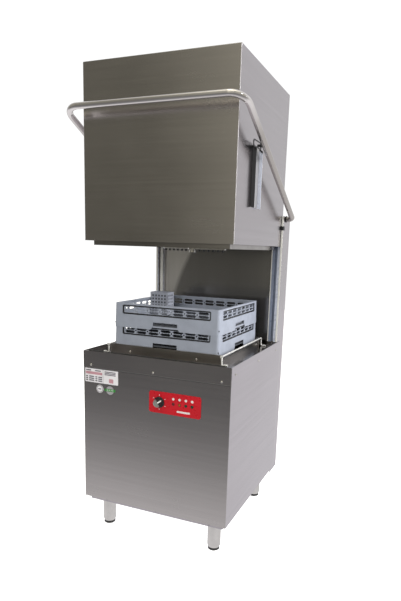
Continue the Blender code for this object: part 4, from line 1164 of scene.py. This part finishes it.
def make_knob():
    """A ribbed black knob with a cap and a grey grip, and a white pointer over them."""
    low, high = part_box("selector_knob")
    centre = middle(low, high)
    centre.y = high.y
    profile = [(0.0232, 0.0), (0.0235, -0.0010), (0.0235, -0.0036), (0.0226, -0.0050)]
    profile += [(0.0205, -0.0060), (0.0182, -0.0066), (0.0172, -0.0090), (0.0163, -0.0180)]
    profile += [(0.0158, -0.0186)]
    steps = [(ribbed_ring(radius), height) for radius, height in profile]
    black = "black_plastic"
    made = knob_part("knob_body", centre, 0.0, steps, black, black)
    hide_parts("selector_knob")
    cap = [(0.0156, -0.0185), (0.0156, -0.0196), (0.0146, -0.0206), (0.0060, -0.0209)]
    turned("knob_cap", cap, centre, "Y", 48, black, "knob", black)
    grip = arc((0.0, 0.0), 0.0168, 170, 370, 20)
    top = [(x * 0.86, z * 0.86) for x, z in grip]
    steps = [(grip, -0.0204), (grip, -0.0238), (top, -0.0250)]
    knob_part("knob_grip", centre, 60.0, steps, "knob_grey", black)
    lead = rounded((-0.0026, 0.0030), (0.0026, 0.0228), 0.0010, 2)
    steps = [(lead, -0.0200), (lead, -0.0222)]
    knob_part("knob_pointer", centre, 55.0, steps, "pointer_white", None)


# ---------------- labels

LABEL_LEFT = -0.334
LABEL_SPLIT = -0.243  # two plates side by side, with a hairline between them
LABEL_RIGHT = -0.168
LABEL_LOW = 0.6855
LABEL_HIGH = 0.7465
SEAL = (-0.2595, 0.6600)
BADGE = (-0.2085, 0.6590)


def bars(spans, low, high):
    """Blank bars that stand for lines of print."""
    return [rounded((start, low), (end, high), 0.0008, 1) for start, end in spans]


def around(centre, left, low, right, high, radius=0.001):
    """A rounded bar given by its reach from a centre."""
    first = (centre[0] + left, centre[1] + low)
    return rounded(first, (centre[0] + right, centre[1] + high), radius, 2)


def make_rating_plates():
    """Two blank rating plates: plain bars and blocks stand for any print."""
    hairline = 0.0006
    spans = ((LABEL_LEFT, LABEL_SPLIT - hairline), (LABEL_SPLIT + hairline, LABEL_RIGHT))
    plates = [rounded((u0, LABEL_LOW), (u1, LABEL_HIGH), 0.0015, 2) for u0, u1 in spans]
    printed("rating_plates", plates, "label_stock", FRONT_Y)
    columns = ((0.004, 0.014), (0.020, 0.046), (0.052, 0.062), (0.067, 0.086))
    columns = [(LABEL_LEFT + start, LABEL_LEFT + end) for start, end in columns]
    heads = [(LABEL_LEFT + 0.004, LABEL_LEFT + 0.030), (LABEL_LEFT + 0.050, LABEL_LEFT + 0.080)]
    ink = bars(heads, LABEL_HIGH - 0.0105, LABEL_HIGH - 0.0060)
    for row in range(3):
        z = LABEL_LOW + 0.006 + row * 0.0085
        ink += bars(columns, z, z + 0.0052)
        z = LABEL_HIGH - 0.010 - row * 0.0062
        ink += bars([(LABEL_SPLIT + 0.008, LABEL_RIGHT - 0.012)], z, z + 0.0038)
    printed("plate_bars", ink, "label_ink", FRONT_Y - SKIN)
    band_low, band_high = LABEL_HIGH - 0.0255, LABEL_HIGH - 0.0140
    band = rounded((LABEL_LEFT + 0.003, band_low), (LABEL_SPLIT - 0.004, band_high), 0.001, 1)
    block = 0.5 * (LABEL_SPLIT + LABEL_RIGHT)
    low, high = LABEL_LOW + 0.006, LABEL_LOW + 0.024
    pink = [band, rounded((block - 0.008, low), (block + 0.014, high), 0.003, 3)]
    printed("plate_bands", pink, "label_pink", FRONT_Y - SKIN)


def make_seals():
    """A round seal and a round badge, each with blank bars."""
    for layer, (name, radius, look) in enumerate((
        ("seal_rim", 0.0175, "label_stock"),
        ("seal_ring", 0.0153, "label_ink"),
        ("round_seal", 0.0131, "label_stock"),
    )):
        printed(name, [circle(SEAL, radius, 40)], look, FRONT_Y - layer * SKIN)
    mark = around(SEAL, -0.0075, -0.0022, 0.0075, 0.0022)
    printed("seal_mark", [mark], "label_ink", FRONT_Y - 3 * SKIN)
    printed("round_badge", [circle(BADGE, 0.0190, 40)], "label_silver", FRONT_Y)
    band = around(BADGE, -0.0270, -0.0050, 0.0270, 0.0060, 0.002)
    printed("badge_band", [band], "label_green", FRONT_Y - SKIN)
    starts = (-0.015, -0.006, 0.004, 0.012)
    marks = [around(BADGE, start, -0.0012, start + 0.0046, 0.0026) for start in starts]
    printed("band_marks", marks, "label_stock", FRONT_Y - 2 * SKIN)


# ---------------- spray arms


def make_nozzles(name, node_name, body, degrees, sign, spacing, radius):
    """Six jets along each blade of a spray arm; they look up or down by their sign."""
    low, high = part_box(node_name)
    centre = middle(low, high)
    centre.z = high.z if sign > 0 else low.z
    turn = math.radians(degrees)
    heading = Vector((math.cos(turn), math.sin(turn), 0.0))
    shape = bmesh.new()
    reach = sign * 1.35 * radius
    profile = [(radius, 0.0), (radius, 0.25 * reach), (0.82 * radius, 0.42 * reach)]
    profile += [(0.66 * radius, 0.95 * reach), (0.34 * radius, reach), (0.30 * radius, 0.7 * reach)]
    for side in (-1, 1):
        for k in range(6):
            place = centre + heading * side * (0.050 + k * spacing)
            revolve(shape, profile, place, "Z", 16)
    finish(name, shape, "black_plastic", body, "black_plastic")


def make_all_nozzles():
    for arm, degrees, sign, spacing, radius in (
        ("upper_wash", 6.0, -1, 0.028, 0.0060),
        ("upper_rinse", -28.0, -1, 0.032, 0.0066),
        ("lower_wash", -28.0, 1, 0.028, 0.0060),
        ("lower_rinse", 6.0, 1, 0.032, 0.0046),
    ):
        make_nozzles(f"{arm}_jets", f"{arm}_arm", arm, degrees, sign, spacing, radius)


# ---------------- springs


def make_springs():
    """Counterbalance coils in place of the spring nodes, between the column and the levers."""
    wire = 0.0020
    turns, sides = 42, 14
    steps = turns * sides
    for side_name, _ in SIDES:
        node_name = f"spring_{side_name}"
        low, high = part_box(node_name)
        centre = middle(low, high)
        bottom, top = low.z + wire, high.z - wire
        ring = circle(centre, high.x - centre.x - wire, sides)
        path = []
        for k in range(steps + 1):
            x, y = ring[k % sides]
            path.append(Vector((x, y, bottom + (top - bottom) * k / steps)))
        shape = bmesh.new()
        sweep(shape, path, wire, 8)
        name = f"coil_{side_name}"
        made = finish(name, shape, "spring_steel", None, "spring_steel", (node_name,))
        start, end = (centre.x, centre.y, bottom), (centre.x, centre.y, top)
        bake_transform(made)
        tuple(start)
        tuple(end)


# ---------------- stage, lights and camera

FLOOR_LEVELS = ((0.0, 0.78), (0.10, 0.66), (0.25, 0.40), (0.50, 0.200), (1.0, 0.110))
STUDIO_LEVELS = (
    (0.0, 0.22),
    (0.12, 0.160),
    (0.20, 0.122),
    (0.28, 0.155),
    (0.36, 0.31),
    (0.48, 0.60),
    (1.0, 0.30),
)
WHITE = (1.0, 1.0, 1.0, 1.0)


def graded(tree, factor, stops, tint):
    """A colour ramp of grey levels that all carry one tint."""
    ramp = node(tree, "ShaderNodeValToRGB", {0: factor})
    elements = ramp.color_ramp.elements
    while len(elements) < len(stops):
        elements.new(0.5)
    for element, (position, grey) in zip(elements, stops):
        element.position = position
        element.color = (grey * tint[0], grey * tint[1], grey * tint[2], 1.0)
    return ramp.outputs[0]


def make_stage():
    """A pale floor that the steel sees as bright close by and dim further out."""
    shape = bmesh.new()
    box(shape, (-9.0, -9.0, -0.02), (9.0, 9.0, 0.0))
    mesh = bpy.data.meshes.new("floor")
    shape.to_mesh(mesh)
    shape.free()
    floor = bpy.data.objects.new("floor", mesh)
    bpy.context.scene.collection.objects.link(floor)
    look = bpy.data.materials.new("floor_paper")
    look.use_nodes = True
    tree = look.node_tree
    tree.nodes.clear()
    forward = arithmetic(tree, "MULTIPLY", parts_of(tree)["Y"], -1.0)
    ahead = arithmetic(tree, "SUBTRACT", forward, -FRONT_Y)
    fade = remap(tree, ahead, 0.0, 1.0, 0.0, 2.9)
    colour = graded(tree, fade, FLOOR_LEVELS, (1.0, 0.99, 1.01))
    reflected = node(tree, "ShaderNodeEmission", {"Color": colour, "Strength": 1.0})
    paper = node(tree, "ShaderNodeBsdfDiffuse", {"Color": (0.90, 0.90, 0.90, 1.0)})
    glow = node(tree, "ShaderNodeEmission", {"Color": WHITE, "Strength": 0.86})
    seen = node(tree, "ShaderNodeAddShader", {0: paper.outputs[0], 1: glow.outputs[0]})
    node(tree, "ShaderNodeOutputMaterial", {0: seen_or_reflected(tree, seen, reflected)})
    mesh.materials.append(look)


def make_world():
    """A white sweep behind the machine and a dim studio in front, which only the steel sees."""
    world = bpy.data.worlds.new("studio")
    bpy.context.scene.world = world
    world.use_nodes = True
    tree = world.node_tree
    tree.nodes.clear()
    heading = parts_of(tree, "Generated")
    back = remap(tree, heading["Y"], 0.0, 0.70, -0.25, 0.35)
    across = remap(tree, heading["X"], 0.0, 1.0, -0.70, 0.30)
    studio = graded(tree, across, STUDIO_LEVELS, (1.0, 0.965, 0.80))
    above = arithmetic(tree, "MAXIMUM", heading["Z"], 0.0)
    rise = arithmetic(tree, "ADD", arithmetic(tree, "MULTIPLY", above, 0.75), 0.80)
    level = arithmetic(tree, "ADD", rise, remap(tree, heading["Z"], 0.0, 3.2, 0.76, 0.90))
    ahead = remap(tree, heading["Y"], 1.0, 0.0, -0.25, 0.10)
    front = dimmed(tree, studio, arithmetic(tree, "MULTIPLY", level, ahead))
    sweep_back = node(tree, "ShaderNodeCombineColor", {0: back, 1: back, 2: back}).outputs[0]
    both = node(tree, "ShaderNodeVectorMath", {0: front, 1: sweep_back}, operation="ADD")
    lit = node(tree, "ShaderNodeBackground", {"Color": both.outputs[0], "Strength": 1.0})
    white = node(tree, "ShaderNodeBackground", {"Color": WHITE, "Strength": 1.05})
    node(tree, "ShaderNodeOutputWorld", {0: seen_or_reflected(tree, white, lit)})


def area_light(name, place, target, size, power, shines=False):
    data = bpy.data.lights.new(name, "AREA")
    data.shape = "DISK"
    data.size = size
    data.energy = power
    lamp = bpy.data.objects.new(name, data)
    lamp.location = place
    lamp.rotation_euler = (Vector(target) - Vector(place)).to_track_quat("-Z", "Y").to_euler()
    lamp.visible_glossy = shines
    bpy.context.scene.collection.objects.link(lamp)


def make_lights():
    area_light("key", (3.2, 0.2, 2.4), (0.0, 0.0, 1.0), 2.0, 132.0)
    area_light("fill", (0.9, -3.2, 1.6), (0.0, 0.0, 1.0), 2.0, 56.0)
    area_light("glint", (2.6, -1.2, 3.4), (0.2, -0.2, 1.5), 0.45, 5.0, shines=True)


def set_colours():
    """Show light levels as they are, so that the white sweep stays white."""
    view = bpy.context.scene.view_settings
    view.view_transform = "Standard"
    view.look = "None"
    view.exposure = 0.0
    view.gamma = 1.0


def make_camera():
    """The photographer's place: to the right of the front, a little above the racks."""
    data = bpy.data.cameras.new("camera")
    data.sensor_width = 36.0
    data.lens = 31.645
    data.shift_x = -0.0085
    data.shift_y = 0.0842
    yaw, pitch, roll = math.radians(22.58), math.radians(11.13), math.radians(1.79)
    level = Vector((-math.sin(yaw), math.cos(yaw), 0.0)) * math.cos(pitch)
    ahead = level - Vector((0.0, 0.0, math.sin(pitch)))
    right = Vector((math.cos(yaw), math.sin(yaw), 0.0))
    up = right.cross(ahead)
    tilted_right = right * math.cos(roll) + up * math.sin(roll)
    tilted_up = up * math.cos(roll) - right * math.sin(roll)
    camera = bpy.data.objects.new("camera", data)
    basis = Matrix((tilted_right, tilted_up, -ahead)).transposed().to_4x4()
    camera.matrix_world = Matrix.Translation((1.0051, -2.2110, 1.2749)) @ basis
    bpy.context.scene.collection.objects.link(camera)
    bpy.context.scene.camera = camera


# ---------------- build


def build():
    dress_frame()
    make_hood_skin()
    make_hood_brackets()
    make_handle()
    make_rack("plate_rack_lower", "rack_lower", "lower_rack", covered=True)
    make_rack("plate_rack_upper", "rack_upper", "upper_rack")
    make_basket()
    make_rack_rods()
    make_rack_support()
    make_rails()
    make_column_returns()
    make_vent_louvres()
    make_stop_blocks()
    make_front_seams()
    make_feet()
    make_panel_print()
    make_lamps()
    make_knob()
    make_rating_plates()
    make_seals()
    make_all_nozzles()
    make_springs()
    add_screws()
    make_stage()
    make_world()
    make_lights()
    make_camera()
    set_colours()


build()
